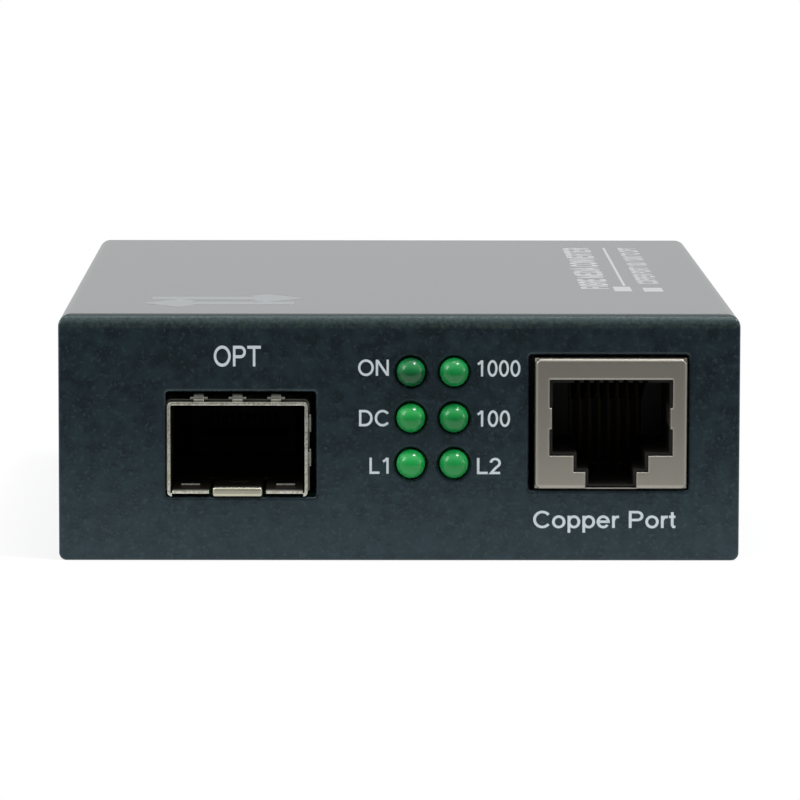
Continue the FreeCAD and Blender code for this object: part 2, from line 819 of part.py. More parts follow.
def board():
    body = new_body("board")
    half = "(case_width / 2 - board_side_gap)"
    block(body, "plan", f"-{half}", half, BOARD_FRONT, BOARD_REAR, "board_underside", BOARD_TOP,
          "board_corner")
    holes = sketch(body, "holes", "Z", BOARD_TOP)
    for side, along in BOARD_SCREWS:
        circle(holes, f"{side} * {SCREW_ACROSS}", along, "screw_radius + board_hole_gap")
    for side in (-1, 1):
        for along in CAGE_PINS:
            circle(holes, f"{CAGE_ACROSS} + {side} * ({CAGE_HALF} - cage_gauge / 2)",
                   f"{CAGE_FRONT} + {along}", "cage_pin_wide / 2 + board_hole_gap")
        circle(holes, f"{JACK_ACROSS} + {side} * peg_across", f"{JACK_FRONT} + peg_setback",
               "peg_radius + board_hole_gap")
    for column, level in LED_SPOTS:
        for side in (-1, 1):
            circle(holes, f"led_across + {column} * led_column_pitch + {side} * lead_span / 2",
                   f"{LED_BASE} + lead_turn + {level} * lead_turn_pitch",
                   "lead_wide / 2 + lead_hole_gap")
    tails = f"({JACK_FRONT} + shield_gauge + housing_gap + cavity_deep + 1.5 * wire_gauge)"
    for number in range(SIZES["wire_count"]):
        circle(holes, f"{JACK_ACROSS} + wire_pitch * ({number} - (wire_count - 1) / 2)", tails,
               "wire_gauge / 2 + lead_hole_gap")
    cut(holes, "board_gauge", forward=False)

    # Slots for the legs of the jack's shield and for the inlet's tag
    slots = sketch(body, "slots", "Z", BOARD_TOP)
    for side in (-1, 1):
        stadium(slots, f"{JACK_ACROSS} + {side} * (jack_wide / 2 - shield_gauge / 2)",
                f"{JACK_FRONT} + shield_leg_setback",
                "shield_leg_wide + 4 * board_hole_gap", "shield_gauge + 2 * board_hole_gap")
    tag = f"({INLET_FACE} - inlet_deep + 2 * inlet_spring_gauge)"
    rectangle(slots, f"{INLET_ACROSS} - inlet_spring_wide / 2 - board_hole_gap",
              f"{INLET_ACROSS} + inlet_spring_wide / 2 + board_hole_gap",
              f"{tag} - board_hole_gap", f"{tag} + inlet_spring_gauge + board_hole_gap")
    cut(slots, "board_gauge", forward=False)
    return body


# Optical module cage, drawn round the middle of its lower front edge

def seat_cage(body):
    return seat(body, CAGE_ACROSS, CAGE_FRONT, BOARD_TOP)


def cage_shell():
    """Folded sleeve with a closed back, a slotted floor and press-fit pins."""
    body = new_body("cage_shell")
    section = sketch(body, "section", "Y")
    rectangle(section, f"-{CAGE_HALF}", CAGE_HALF, "0", CAGE_TALL, "cage_bend")
    pad(section, "cage_long")
    inside = sketch(body, "inside", "Y")
    rectangle(inside, "-cage_inner_wide / 2", "cage_inner_wide / 2",
              "cage_gauge", f"{CAGE_TALL} - cage_gauge", "cage_bend - cage_gauge")
    cut(inside, "cage_long - cage_gauge")
    slot = sketch(body, "slot", "Z")
    rectangle(slot, f"-{TONGUE_HALF}", TONGUE_HALF, "-cage_gauge", f"{FLOOR_LONG} + cage_gauge")
    cut(slot, "cage_gauge")
    sill = sketch(body, "sill", "Z")
    rectangle(sill, f"cage_bend - {CAGE_HALF}", f"{CAGE_HALF} - cage_bend", "-cage_gauge", "cage_sill_setback")
    cut(sill, "cage_gauge")
    open_back = sketch(body, "open_back", "Z")
    rectangle(open_back, "-cage_inner_wide / 2 + cage_gauge", "cage_inner_wide / 2 - cage_gauge",
              FLOOR_LONG, "cage_long - 2 * cage_gauge")
    cut(open_back, "cage_gauge")
    vents = sketch(body, "vents", "Z", CAGE_TALL)
    for across in (-1, 0, 1):
        circle(vents, f"{across} * cage_vent_pitch", "cage_long - cage_vent_back", "cage_vent_radius")
    first = cut(vents, "cage_gauge", forward=False)
    row(body, [first], "Y", "cage_vent_pitch", "cage_vent_count")
    half = "(cage_pin_wide / 2)"
    legs = []
    for name, wall in (("left", f"-{CAGE_HALF}"), ("right", f"{CAGE_HALF} - cage_gauge")):
        leg = sketch(body, f"{name}_leg", "X", wall)
        outline(leg, [
            (f"cage_pin_setback - {half}", "cage_bend"),
            (f"cage_pin_setback - {half}", "cage_pin_point - cage_pin_long"),
            (f"cage_pin_setback - {half} / 2", "-cage_pin_long"),
            (f"cage_pin_setback + {half} / 2", "-cage_pin_long"),
            (f"cage_pin_setback + {half}", "cage_pin_point - cage_pin_long"),
            (f"cage_pin_setback + {half}", "cage_bend"),
        ])
        legs.append(pad(leg, "cage_gauge"))
    row(body, legs, "Y", CAGE_PIN_PITCH, "cage_pin_count")
    return seat_cage(body)


def cage_floor():
    """Floor plate with the sprung latch tongue that holds a module."""
    body = new_body("cage_floor")
    half = "(cage_inner_wide / 2 - cage_bend + cage_gauge - floor_gap)"
    block(body, "plate", f"-{half}", half, "0", FLOOR_LONG, "cage_gauge", "2 * cage_gauge")
    slits = sketch(body, "slits", "Z", "2 * cage_gauge")
    for side in (-1, 1):
        edges = sorted((f"{side} * tongue_wide / 2", f"{side} * {TONGUE_HALF}"), key=worth)
        rectangle(slits, *edges, "-tongue_slit", "tongue_long")
    cut(slits, "cage_gauge", forward=False)
    latch = sketch(body, "latch", "Z", "2 * cage_gauge")
    outline(latch, [
        ("-latch_hole_wide / 2", "latch_hole_setback + latch_hole_deep"),
        ("0", "latch_hole_setback"),
        ("latch_hole_wide / 2", "latch_hole_setback + latch_hole_deep"),
    ])
    cut(latch, "cage_gauge", forward=False)
    lip = sketch(body, "lip", "X")
    outline(lip, [
        ("-tongue_lip_deep / 2", "0", "cage_gauge"),
        ("tongue_lip_deep / 2", "0"),
        ("tongue_lip_deep / 2", "2 * cage_gauge"),
        ("tongue_lip_deep / 2", "tongue_lip_tall"),
        ("-tongue_lip_deep / 2", "tongue_lip_tall", "cage_gauge"),
    ])
    pad(lip, "tongue_wide", middle=True)
    fillet(body, "lip_corners", "tongue_lip_corner",
           lambda edge: lies(edge, Z="tongue_lip_tall")
           and (lies(edge, X="tongue_wide / 2") or lies(edge, X="-tongue_wide / 2")))
    for name, side in (("left", -1), ("right", 1)):
        centre = f"{side} * (cage_inner_wide / 4 + {TONGUE_HALF} / 2)"
        block(body, f"{name}_lance", f"{centre} - lance_wide / 2", f"{centre} + lance_wide / 2",
              "lance_setback", "lance_setback + lance_deep", "2 * cage_gauge", "2 * cage_gauge + lance_tall")
    return seat_cage(body)


def finger(drawing, level, rise, sideways=False):
    """Bowed strip from the collar forward over the edge of the panel opening."""
    root = "(cage_proud + sheet_gauge)"
    run = [
        (root, level),
        (f"{root} - finger_reach / 2", f"{level} + {rise} - collar_gauge"),
        (f"{root} - finger_reach", level),
        (f"{root} - finger_reach", f"{level} + collar_gauge"),
        (f"{root} - finger_reach / 2", f"{level} + {rise}"),
        (root, f"{level} + collar_gauge"),
    ]
    outline(drawing, [(v, u) for u, v in run] if sideways else run)
    return pad(drawing, "finger_wide", middle=True)


def cage_collar():
    """Thin earthing strip round the cage with fingers that bow out at the opening."""
    body = new_body("cage_collar")
    start = "(cage_proud + sheet_gauge)"
    top = f"({CAGE_TALL} + collar_gauge)"
    band = sketch(body, "band", "Y", start)
    outer = f"({CAGE_HALF} + collar_gauge)"
    outline(band, [
        (f"-{outer}", "cage_bend"), (f"-{CAGE_HALF}", "cage_bend"),
        (f"-{CAGE_HALF}", CAGE_TALL, "cage_bend"), (CAGE_HALF, CAGE_TALL, "cage_bend"),
        (CAGE_HALF, "cage_bend"), (outer, "cage_bend"),
        (outer, top, "cage_bend + collar_gauge"), (f"-{outer}", top, "cage_bend + collar_gauge"),
    ])
    pad(band, "collar_deep")
    # Each finger has a wing on both sides, halfway up its front slope
    slope = f"({start} - finger_reach * 3 / 4)"
    front, back = f"{slope} - finger_wing_deep / 2", f"{slope} + finger_wing_deep / 2"
    for number in range(3):
        middle = f"({number} - 1) * finger_pitch"
        finger(sketch(body, f"top_finger_{number + 1}", "X", middle), CAGE_TALL, "finger_top_rise")
        block(body, f"top_wing_{number + 1}",
              f"{middle} - finger_wing_wide / 2", f"{middle} + finger_wing_wide / 2", front, back,
              f"{CAGE_TALL} + (finger_top_rise - collar_gauge) / 2",
              f"{CAGE_TALL} + (finger_top_rise + collar_gauge) / 2")
    for number in range(2):
        up = f"finger_side_low + {number} * finger_side_pitch"
        strip = sketch(body, f"side_finger_{number + 1}", "Z", up)
        finger(strip, CAGE_HALF, "finger_side_rise", sideways=True)
        block(body, f"side_wing_{number + 1}",
              f"{CAGE_HALF} + (finger_side_rise - collar_gauge) / 2",
              f"{CAGE_HALF} + (finger_side_rise + collar_gauge) / 2",
              front, back, f"{up} - finger_wing_wide / 2", f"{up} + finger_wing_wide / 2")
    return seat_cage(body)


def host_connector():
    """Board connector for the module's edge, a moulded body grooved for its contacts."""
    body = new_body("host_connector")
    block(body, "body", "-host_wide / 2", "host_wide / 2",
          HOST_FRONT, f"{HOST_FRONT} + host_deep", "package_lift", "host_tall")
    slot = sketch(body, "slot", "Y", HOST_FRONT)
    rectangle(slot, "-host_slot_wide / 2", "host_slot_wide / 2",
              "host_slot_up - host_slot_tall / 2", "host_slot_up + host_slot_tall / 2")
    cut(slot, "host_slot_deep")
    first = "-host_contact_pitch * (host_contact_count - 1) / 2"
    for name, low, high, deep in (
        ("upper", "host_slot_up", "host_tall - 3 * host_contact_gauge", "host_deep"),
        ("lower", "0", "host_slot_up", "host_slot_deep"),
    ):
        groove = sketch(body, f"{name}_groove", "Y", HOST_FRONT)
        rectangle(groove, f"{first} - host_groove_wide / 2", f"{first} + host_groove_wide / 2", low, high)
        opened = cut(groove, deep)
        row(body, [opened], "X", "host_contact_pitch", "host_contact_count")
    return seat_cage(body)


def host_contacts():
    """Two rows of flat springs, the upper one soldered behind the body, the lower in front."""
    body = new_body("host_contacts", loose=True)
    skin = "host_contact_gauge"
    tail = "host_contact_tail"
    first = "-host_contact_pitch * (host_contact_count - 1) / 2"
    upper = "(host_slot_up + host_slot_tall / 2)"
    back = f"({HOST_FRONT} + host_deep + {skin})"
    over = sketch(body, "over", "X", first)
    outline(over, [
        (f"{HOST_FRONT} + {tail}", upper), (f"{HOST_FRONT} + {tail}", f"{upper} + {skin}"),
        (back, f"{upper} + {skin}"), (back, skin), (f"{back} + {tail}", skin), (f"{back} + {tail}", "0"),
        (f"{back} - {skin}", "0"), (f"{back} - {skin}", upper),
    ])
    lower = "(host_slot_up - host_slot_tall / 2)"
    front = f"({HOST_FRONT} - {skin})"
    under = sketch(body, "under", "X", first)
    outline(under, [
        (f"{HOST_FRONT} + host_slot_deep - {tail}", lower), (f"{front} - {skin}", lower),
        (f"{front} - {skin}", skin), (f"{front} - {tail}", skin), (f"{front} - {tail}", "0"),
        (front, "0"), (front, f"{lower} - {skin}"),
        (f"{HOST_FRONT} + host_slot_deep - {tail}", f"{lower} - {skin}"),
    ])
    rows = [pad(drawing, "host_contact_wide", middle=True) for drawing in (over, under)]
    row(body, rows, "X", "host_contact_pitch", "host_contact_count")
    return seat_cage(body)


# Copper jack, drawn round the middle of its lower front edge

def seat_jack(body):
    return seat(body, JACK_ACROSS, JACK_FRONT, JACK_LOW)


def mouth(drawing, rim):
    """Stepped opening for a plug with its latch downwards, smaller by a rim all round."""
    step_low = "(mouth_up - mouth_step_drop)"
    key_low = f"({step_low} - mouth_key_drop)"
    main = f"(mouth_wide / 2 - {rim})"
    step = f"(mouth_step_wide / 2 - {rim})"
    key = f"(mouth_key_wide / 2 - {rim})"
    half = [
        (key, f"{key_low} + {rim}"), (key, f"{step_low} + {rim}"),
        (step, f"{step_low} + {rim}"), (step, f"mouth_up + {rim}"),
        (main, f"mouth_up + {rim}"), (main, f"mouth_up + mouth_tall - {rim}"),
    ]
    outline(drawing, half + [(f"-{u}", v) for u, v in reversed(half)])


def jack_shield():
    """Folded sheet can with a stepped mouth, side contact tabs and board legs."""
    body = new_body("jack_shield")
    half = "(jack_wide / 2)"
    block(body, "can", f"-{half}", half, "0", "jack_long", "0", "jack_tall")
    fillet(body, "face_bends", "shield_bend", lambda edge: lies(edge, Y="0"))
    hollow(body, "walls", "shield_gauge", lambda face: lies(face, Y="jack_long"))
    block(body, "back", f"-{half}", half, "jack_long - shield_gauge", "jack_long", "0", "jack_tall")
    corners = sketch(body, "corner_notches", "Y")
    for across in (f"-{half}", half):
        for up in ("0", "jack_tall"):
            circle(corners, across, up, "shield_bend")
    cut(corners, "2 * shield_bend")
    opening = sketch(body, "mouth", "Y")
    mouth(opening, "0")
    cut(opening, "2 * shield_gauge")
    under = sketch(body, "under", "Z")
    rectangle(under, f"shield_gauge - {half}", f"{half} - shield_gauge",
              "shield_floor", "jack_long - shield_gauge")
    cut(under, "shield_gauge")
    for name, side in (("left", -1), ("right", 1)):
        rim = sorted((f"{side} * mouth_wide / 2", f"{side} * (mouth_wide / 2 - shield_gauge)"), key=worth)
        block(body, f"{name}_contact", *rim, "0", "shield_tab_long",
              "shield_tab_up", "shield_tab_up + shield_tab_tall")
        wall = sorted((f"{side} * {half}", f"{side} * ({half} - shield_gauge)"), key=worth)
        block(body, f"{name}_leg", *wall,
              "shield_leg_setback - shield_leg_wide / 2", "shield_leg_setback + shield_leg_wide / 2",
              "-shield_leg_long", "shield_gauge")
    return seat_jack(body)


def jack_housing():
    """Black moulding with the plug cavity, contact grooves in its roof and board pegs."""
    body = new_body("jack_housing")
    half = "(jack_wide / 2 - shield_gauge - housing_gap)"
    front = "(shield_gauge + housing_gap)"
    block(body, "block", f"-{half}", half, front, f"jack_long - {front}",
          "shield_gauge + housing_gap", "jack_tall - shield_gauge - housing_gap")
    cavity = sketch(body, "cavity", "Y", front)
    mouth(cavity, "cavity_rim")
    cut(cavity, "cavity_deep")
    recesses = sketch(body, "tab_recesses", "Y", front)
    for side in (-1, 1):
        edges = sorted((f"{side} * (mouth_wide / 2 - 2 * cavity_rim)",
                        f"{side} * (mouth_wide / 2 + housing_gap)"), key=worth)
        rectangle(recesses, *edges, "shield_tab_up - housing_gap",
                  "shield_tab_up + shield_tab_tall + housing_gap")
    cut(recesses, "shield_tab_long - shield_gauge")
    groove = sketch(body, "groove", "Y", front)
    first = "-wire_pitch * (wire_count - 1) / 2"
    roof = "(mouth_up + mouth_tall - cavity_rim)"
    rectangle(groove, f"{first} - groove_wide / 2", f"{first} + groove_wide / 2",
              f"{roof} - cavity_rim", f"{roof} + groove_tall")
    opened = cut(groove, "cavity_deep")
    row(body, [opened], "X", "wire_pitch", "wire_count")
    relief = sketch(body, "wire_channel", "Z", "shield_gauge + housing_gap")
    rectangle(relief, f"{first} - wire_gauge", f"-({first}) + wire_gauge",
              f"{front} + cavity_deep - wire_gauge", f"jack_long - {front} - wire_wall")
    cut(relief, f"{roof} + groove_tall - shield_gauge - housing_gap")
    pegs = sketch(body, "pegs", "Z", "shield_gauge + housing_gap")
    for side in (-1, 1):
        circle(pegs, f"{side} * peg_across", "peg_setback", "peg_radius")
    pad(pegs, "shield_gauge + housing_gap + jack_lift + peg_long", forward=False)
    return seat_jack(body)


def jack_wires():
    """Eight sprung wires that slope down from the roof, then run back and down to the board."""
    body = new_body("jack_wires", loose=True)
    wire = sketch(body, "wire", "X", "-wire_pitch * (wire_count - 1) / 2")
    roof = "(mouth_up + mouth_tall - cavity_rim + groove_tall - wire_gauge)"
    start = "(shield_gauge + housing_gap + wire_start)"
    bend = f"({start} + wire_reach)"
    back = "(shield_gauge + housing_gap + cavity_deep + wire_gauge)"
    foot = "(-jack_lift - wire_tail)"
    outline(wire, [
        (start, roof), (f"{start} + wire_gauge", f"{roof} - wire_gauge"),
        (bend, f"{roof} - wire_drop - wire_gauge"), (f"{bend} + wire_drop", f"{roof} - 2 * wire_gauge"),
        (back, f"{roof} - 2 * wire_gauge"), (back, foot),
        (f"{back} + wire_gauge", foot), (f"{back} + wire_gauge", f"{roof} - wire_gauge"),
        (f"{bend} + wire_drop - wire_gauge", f"{roof} - wire_gauge"), (bend, f"{roof} - wire_drop"),
        (f"{start} + 2 * wire_gauge", roof),
    ])
    first = pad(wire, "wire_gauge", middle=True)
    row(body, [first], "X", "wire_pitch", "wire_count")
    return seat_jack(body)


# Indicator lamps

LAMP_NAMES = ("copper_link", "fibre_link", "speed_100", "input", "speed_1000", "power")


def lamps():
    """Domed lamps with a rim at the back, each a moulding turned round its own axis."""
    spots = [(1, 0), (0, 0), (1, 1), (0, 1), (1, 2), (0, 2)]
    for name, (column, level) in zip(LAMP_NAMES, spots):
        body = new_body(f"lamp_{name}")
        turned(body, "profile", [
            ("0", "led_long"),
            ("led_radius", "led_long", "led_radius - led_tip_flat"),
            ("led_radius", "led_rim_long"),
            ("led_rim_radius", "led_rim_long"),
            ("led_rim_radius", "0"),
            ("0", "0"),
        ])
        seat(body, f"led_across + {column} * led_column_pitch", LED_BASE,
             f"led_low + {level} * led_row_pitch", (FreeCAD.Vector(1, 0, 0), 90))


def lamp_holder():
    """Black block behind the panel that keeps the six lamps in line."""
    body = new_body("lamp_holder")
    wall = "(led_rim_radius + holder_slack + holder_wall)"
    block(body, "block", f"led_across - {wall}", f"led_across + led_column_pitch + {wall}",
          HOLDER_FRONT, HOLDER_BACK, BOARD_TOP, f"led_low + 2 * led_row_pitch + {wall}")
    bores = sketch(body, "bores", "Y", HOLDER_FRONT)
    rims = sketch(body, "rims", "Y", HOLDER_BACK)
    for column, level in LED_SPOTS:
        centre = (f"led_across + {column} * led_column_pitch", f"led_low + {level} * led_row_pitch")
        circle(bores, *centre, "led_radius + holder_slack")
        circle(rims, *centre, "led_rim_radius + holder_slack")
    cut(bores, "holder_deep")
    cut(rims, f"{HOLDER_BACK} - {LED_BASE} + led_rim_long", forward=False)
    return body


def lamp_leads():
    """Twelve square leads, straight back from the lamps, then down through the board."""
    body = new_body("lamp_leads", loose=True)
    half = "(lead_wide / 2)"
    for level in range(3):
        up = f"(led_low + {level} * led_row_pitch)"
        turn = f"({LED_BASE} + lead_turn + {level} * lead_turn_pitch)"
        for column in (0, 1):
            for side in (-1, 1):
                across = f"led_across + {column} * led_column_pitch + {side} * lead_span / 2"
                lead = sketch(body, f"lead_{level}_{column}_{side + 1}", "X", across)
                outline(lead, [
                    (LED_BASE, f"{up} + {half}"),
                    (f"{turn} + {half}", f"{up} + {half}", "lead_wide"),
                    (f"{turn} + {half}", "board_underside - lead_tail"),
                    (f"{turn} - {half}", "board_underside - lead_tail"),
                    (f"{turn} - {half}", f"{up} - {half}"),
                    (LED_BASE, f"{up} - {half}"),
                ])
                pad(lead, "lead_wide", middle=True)
    return body


# Power inlet, drawn round the middle of the lower edge of its face; it looks backwards

def seat_inlet(body):
    return seat(body, INLET_ACROSS, INLET_FACE, BOARD_TOP)


def inlet_housing():
    """Moulded block with a round collar that fills the hole in the rear panel."""
    body = new_body("inlet_housing")
    block(body, "block", "-inlet_wide / 2", "inlet_wide / 2", "-inlet_deep", "0", "0", "inlet_tall")
    chamfer(body, "top_edges", "inlet_top_ease",
            lambda edge: lies(edge, Z="inlet_tall") and edge.BoundBox.XLength < CLOSE)
    collar = sketch(body, "collar", "Y", "0")
    circle(collar, "0", "inlet_axis_up", "inlet_collar_radius")
    pad(collar, f"{REAR} - ({INLET_FACE})")
    bore = sketch(body, "bore", "Y", f"{REAR} - ({INLET_FACE})")
    circle(bore, "0", "inlet_axis_up", "inlet_bore_radius")
    cut(bore, "inlet_bore_deep", forward=False)
    spring = sketch(body, "spring_way", "Z")
    rectangle(spring, "-inlet_spring_wide / 2 - inlet_gap", "inlet_spring_wide / 2 + inlet_gap",
              "-inlet_deep + inlet_spring_gauge", "-inlet_spring_setback")
    cut(spring, "inlet_axis_up - inlet_bore_radius + inlet_spring_gauge")
    return seat_inlet(body)


def inlet_pin():
    """Round centre pin that a barrel plug slides over."""
    body = new_body("inlet_pin")
    pin_back = f"({REAR} - ({INLET_FACE}) - inlet_bore_deep)"
    shaft = sketch(body, "shaft", "Y", pin_back)
    circle(shaft, "0", "inlet_axis_up", "inlet_pin_radius")
    pad(shaft, "inlet_bore_deep - inlet_pin_short")
    fillet(body, "nose", "inlet_pin_radius / 2",
           lambda edge: lies(edge, Y=f"{REAR} - ({INLET_FACE}) - inlet_pin_short"))
    return seat_inlet(body)


def inlet_spring():
    """Bent strip under the bore that presses on the barrel, with a tag through the board."""
    body = new_body("inlet_spring")
    strip = sketch(body, "strip", "X")
    top = "(inlet_axis_up - inlet_bore_radius - inlet_gap)"
    back = "(-inlet_deep + 2 * inlet_spring_gauge)"
    front = "(-inlet_spring_setback - inlet_spring_gauge)"
    skin = "inlet_spring_gauge"
    outline(strip, [
        (back, "-inlet_tag_tail"), (f"{back} + {skin}", "-inlet_tag_tail"),
        (f"{back} + {skin}", f"{top} - 3 * {skin}"), (front, f"{top} - {skin}"),
        (front, top), (back, f"{top} - 2 * {skin}"),
    ])
    pad(strip, "inlet_spring_wide", middle=True)
    return seat_inlet(body)


# Parts soldered to the top of the board, each drawn round its own middle

def seat_part(body, name):
    return seat(body, *SEATS[name], BOARD_TOP)


def moulding(body, wide, long, tall):
    """Black package with its upper edges eased, a little clear of the board."""
    block(body, "package", f"-{wide} / 2", f"{wide} / 2", f"-{long} / 2", f"{long} / 2",
          "package_lift", f"package_lift + {tall}")
    chamfer(body, "draft", "package_draft",
            lambda edge: lies(edge, Z=f"package_lift + {tall}"))
    dot = sketch(body, "first_pin_mark", "Z", f"package_lift + {tall}")
    circle(dot, f"-{wide} / 2 + package_dot_inset", f"{long} / 2 - package_dot_inset", "package_dot_radius")
    cut(dot, "package_dot_deep", forward=False)


def pin_comb(body, axis, edge, pitch, count, name):
    """Both sides' pins, each side drawn once and repeated along the package."""
    made = []
    for sign in (1, -1):
        drawing = sketch(body, f"{name}_{sign + 1}", "Y" if axis == "X" else "X",
                         f"-({pitch}) * ({count} - 1) / 2")
        knee = "(pin_reach / 2)"
        run = [
            (edge, "pin_up + pin_gauge"), (f"({edge}) + {knee}", "pin_up + pin_gauge"),
            (f"({edge}) + {knee}", "pin_gauge"), (f"({edge}) + pin_reach", "pin_gauge"),
            (f"({edge}) + pin_reach", "0"), (f"({edge}) + {knee} - pin_gauge", "0"),
            (f"({edge}) + {knee} - pin_gauge", "pin_up"), (edge, "pin_up"),
        ]
        outline(drawing, [(f"{sign} * ({u})", v) for u, v in run])
        made.append(pad(drawing, "pin_wide", middle=True))
    row(body, made, "Y" if axis == "X" else "X", pitch, count)


def chip(label, name, wide, long, tall, pitch, count, sides):
    """A moulded package and, apart, the comb of pins that it stands on."""
    package = new_body(label)
    moulding(package, wide, long, tall)
    seat_part(package, name)
    pins = new_body(f"{label}_pins", loose=True)
    pin_comb(pins, "X", f"{wide} / 2", pitch, count, "side_pin")
    if sides == 4:
        pin_comb(pins, "Y", f"{long} / 2", pitch, count, "end_pin")
    seat_part(pins, name)


def chips():
    chip("converter_chip", "chip", "chip_wide", "chip_wide", "chip_tall",
         "chip_pin_pitch", "chip_pin_count", 4)
    chip("memory_chip", "memory", "memory_wide", "memory_long", "memory_tall",
         "memory_pin_pitch", "memory_pin_count", 2)
    chip("optocoupler", "coupler", "coupler_wide", "coupler_long", "coupler_tall",
         "coupler_pin_pitch", "coupler_pin_count", 2)
    chip("line_transformer", "line", "line_wide", "line_long", "line_tall",
         "line_pin_pitch", "line_pin_count", 2)


def regulator():
    """Moulded body on a soldered metal tab, with two pins at the other end."""
    package = new_body("regulator")
    moulding(package, "regulator_wide", "regulator_long", "regulator_tall")
    seat_part(package, "regulator")
    frame = new_body("regulator_frame", loose=True)
    half = "(regulator_long / 2)"
    block(frame, "tab", "-regulator_tab_wide / 2", "regulator_tab_wide / 2",
          half, f"{half} + regulator_tab_reach", "0", "regulator_tab_gauge")
    for side in (-1, 1):
        centre = f"{side} * regulator_pin_across"
        block(frame, f"pin_{side + 1}", f"{centre} - pin_wide", f"{centre} + pin_wide",
              f"-{half} - regulator_tab_reach", f"-{half}", "0", "regulator_tab_gauge")
    seat_part(frame, "regulator")


def crystal():
    """Low metal can with round ends, pressed on a thin flange."""
    body = new_body("crystal")
    flange = sketch(body, "flange", "Z")
    stadium(flange, "0", "0", "crystal_long", "crystal_wide")
    pad(flange, "crystal_flange_tall")
    can = sketch(body, "can", "Z", "crystal_flange_tall")
    stadium(can, "0", "0", "crystal_long - 2 * crystal_flange", "crystal_wide - 2 * crystal_flange")
    pad(can, "crystal_tall - crystal_flange_tall")
    fillet(body, "top_edge", "crystal_flange", lambda edge: lies(edge, Z="crystal_tall"))
    seat_part(body, "crystal")


def power_transformer():
    """Ferrite frame with a round middle post, its bobbin on two feet and the winding."""
    window = "(core_wide / 2 - core_leg)"
    floor = "(core_lift + core_leg)"
    roof = "(core_lift + core_tall - core_leg)"
    core = new_body("transformer_core")
    frame = sketch(core, "frame", "Y", "-core_deep / 2")
    rectangle(frame, "-core_wide / 2", "core_wide / 2", "core_lift", "core_lift + core_tall")
    rectangle(frame, f"-{window}", window, floor, roof)
    pad(frame, "core_deep")
    post = sketch(core, "post", "Z", floor)
    circle(post, "0", "0", "core_post_radius")
    pad(post, f"{roof} - {floor}")
    seat_part(core, "core")

    bobbin = new_body("transformer_bobbin")
    tube = "(core_post_radius + bobbin_gap)"
    turned(bobbin, "tube", [
        (tube, f"{floor} + bobbin_gap"), (f"{tube} + bobbin_flange / 2", f"{floor} + bobbin_gap"),
        (f"{tube} + bobbin_flange / 2", f"{roof} - bobbin_gap"), (tube, f"{roof} - bobbin_gap"),
    ])
    for name, low in (("lower", f"{floor} + bobbin_gap"), ("upper", f"{roof} - bobbin_gap - bobbin_flange")):
        flange = sketch(bobbin, f"{name}_flange", "Z", low)
        rectangle(flange, f"bobbin_gap - {window}", f"{window} - bobbin_gap",
                  "-bobbin_deep / 2", "bobbin_deep / 2")
        circle(flange, "0", "0", tube)
        pad(flange, "bobbin_flange")
    for name, side in (("front", -1), ("rear", 1)):
        edges = sorted((f"{side} * (core_deep / 2 + bobbin_gap)", f"{side} * bobbin_deep / 2"), key=worth)
        block(bobbin, f"{name}_foot", "-bobbin_wide / 2", "bobbin_wide / 2", *edges,
              "0", f"{floor} + bobbin_gap + bobbin_flange")
    seat_part(bobbin, "core")

    winding = new_body("transformer_winding")
    inner = f"({tube} + bobbin_flange / 2)"
    low = f"({floor} + bobbin_gap + bobbin_flange)"
    high = f"({roof} - bobbin_gap - bobbin_flange)"
    turned(winding, "coil", [(inner, low), ("winding_radius", low), ("winding_radius", high), (inner, high)])
    seat_part(winding, "core")


def inductor():
    body = new_body("inductor")
    half = "(inductor_wide / 2)"
    block(body, "foot", f"-{half}", half, f"-{half}", half, "0", "inductor_foot_tall", "inductor_foot_tall")
    low, high = f"bobbin_gap - {half}", f"{half} - bobbin_gap"
    block(body, "drum", low, high, low, high, "inductor_foot_tall", "inductor_tall", "inductor_corner")
    fillet(body, "top_edge", "inductor_foot_tall", lambda edge: lies(edge, Z="inductor_tall"))
    seat_part(body, "inductor")


def capacitors():
    """Upright aluminium cans, each rolled in above its rubber plug."""
    for name in ("reservoir", "filter", "output"):
        body = new_body(f"{name}_capacitor")
        radius = f"{name}_radius"
        tall = f"{name}_tall"
        plug = f"({radius} - can_top_ease)"
        turned(body, "can", [
            ("0", "0"), (plug, "0"), (plug, "can_base_tall"), (radius, "can_base_tall"),
            (radius, "can_groove_up - can_groove_radius"), (f"{radius} - can_groove_radius", "can_groove_up"),
            (radius, "can_groove_up + can_groove_radius"), (radius, tall, "can_top_ease"), ("0", tall),
        ])
        seat_part(body, name)


def small_parts():
    """A row of little resistors and capacitors with plated ends."""
    body = new_body("small_parts", loose=True)
    core = block(body, "core", "bit_cap - bit_long / 2", "bit_long / 2 - bit_cap",
                 "-bit_wide / 2", "bit_wide / 2", "bit_lift", "bit_tall - bit_lift")
    caps = []
    for name, side in (("left", -1), ("right", 1)):
        edges = sorted((f"{side} * (bit_long / 2 - bit_cap)", f"{side} * bit_long / 2"), key=worth)
        caps.append(block(body, f"{name}_cap", *edges, "-bit_wide / 2", "bit_wide / 2", "0", "bit_tall"))
    row(body, [core] + caps, "Y", "bit_pitch", "bit_count")
    seat_part(body, "bit")


for make in (cover, base, cover_screws, board_screws, standoffs, board,
             cage_shell, cage_floor, cage_collar, host_connector, host_contacts,
             jack_shield, jack_housing, jack_wires, lamps, lamp_holder, lamp_leads,
             inlet_housing, inlet_pin, inlet_spring, chips, regulator, crystal,
             power_transformer, inductor, capacitors, small_parts):
    make()

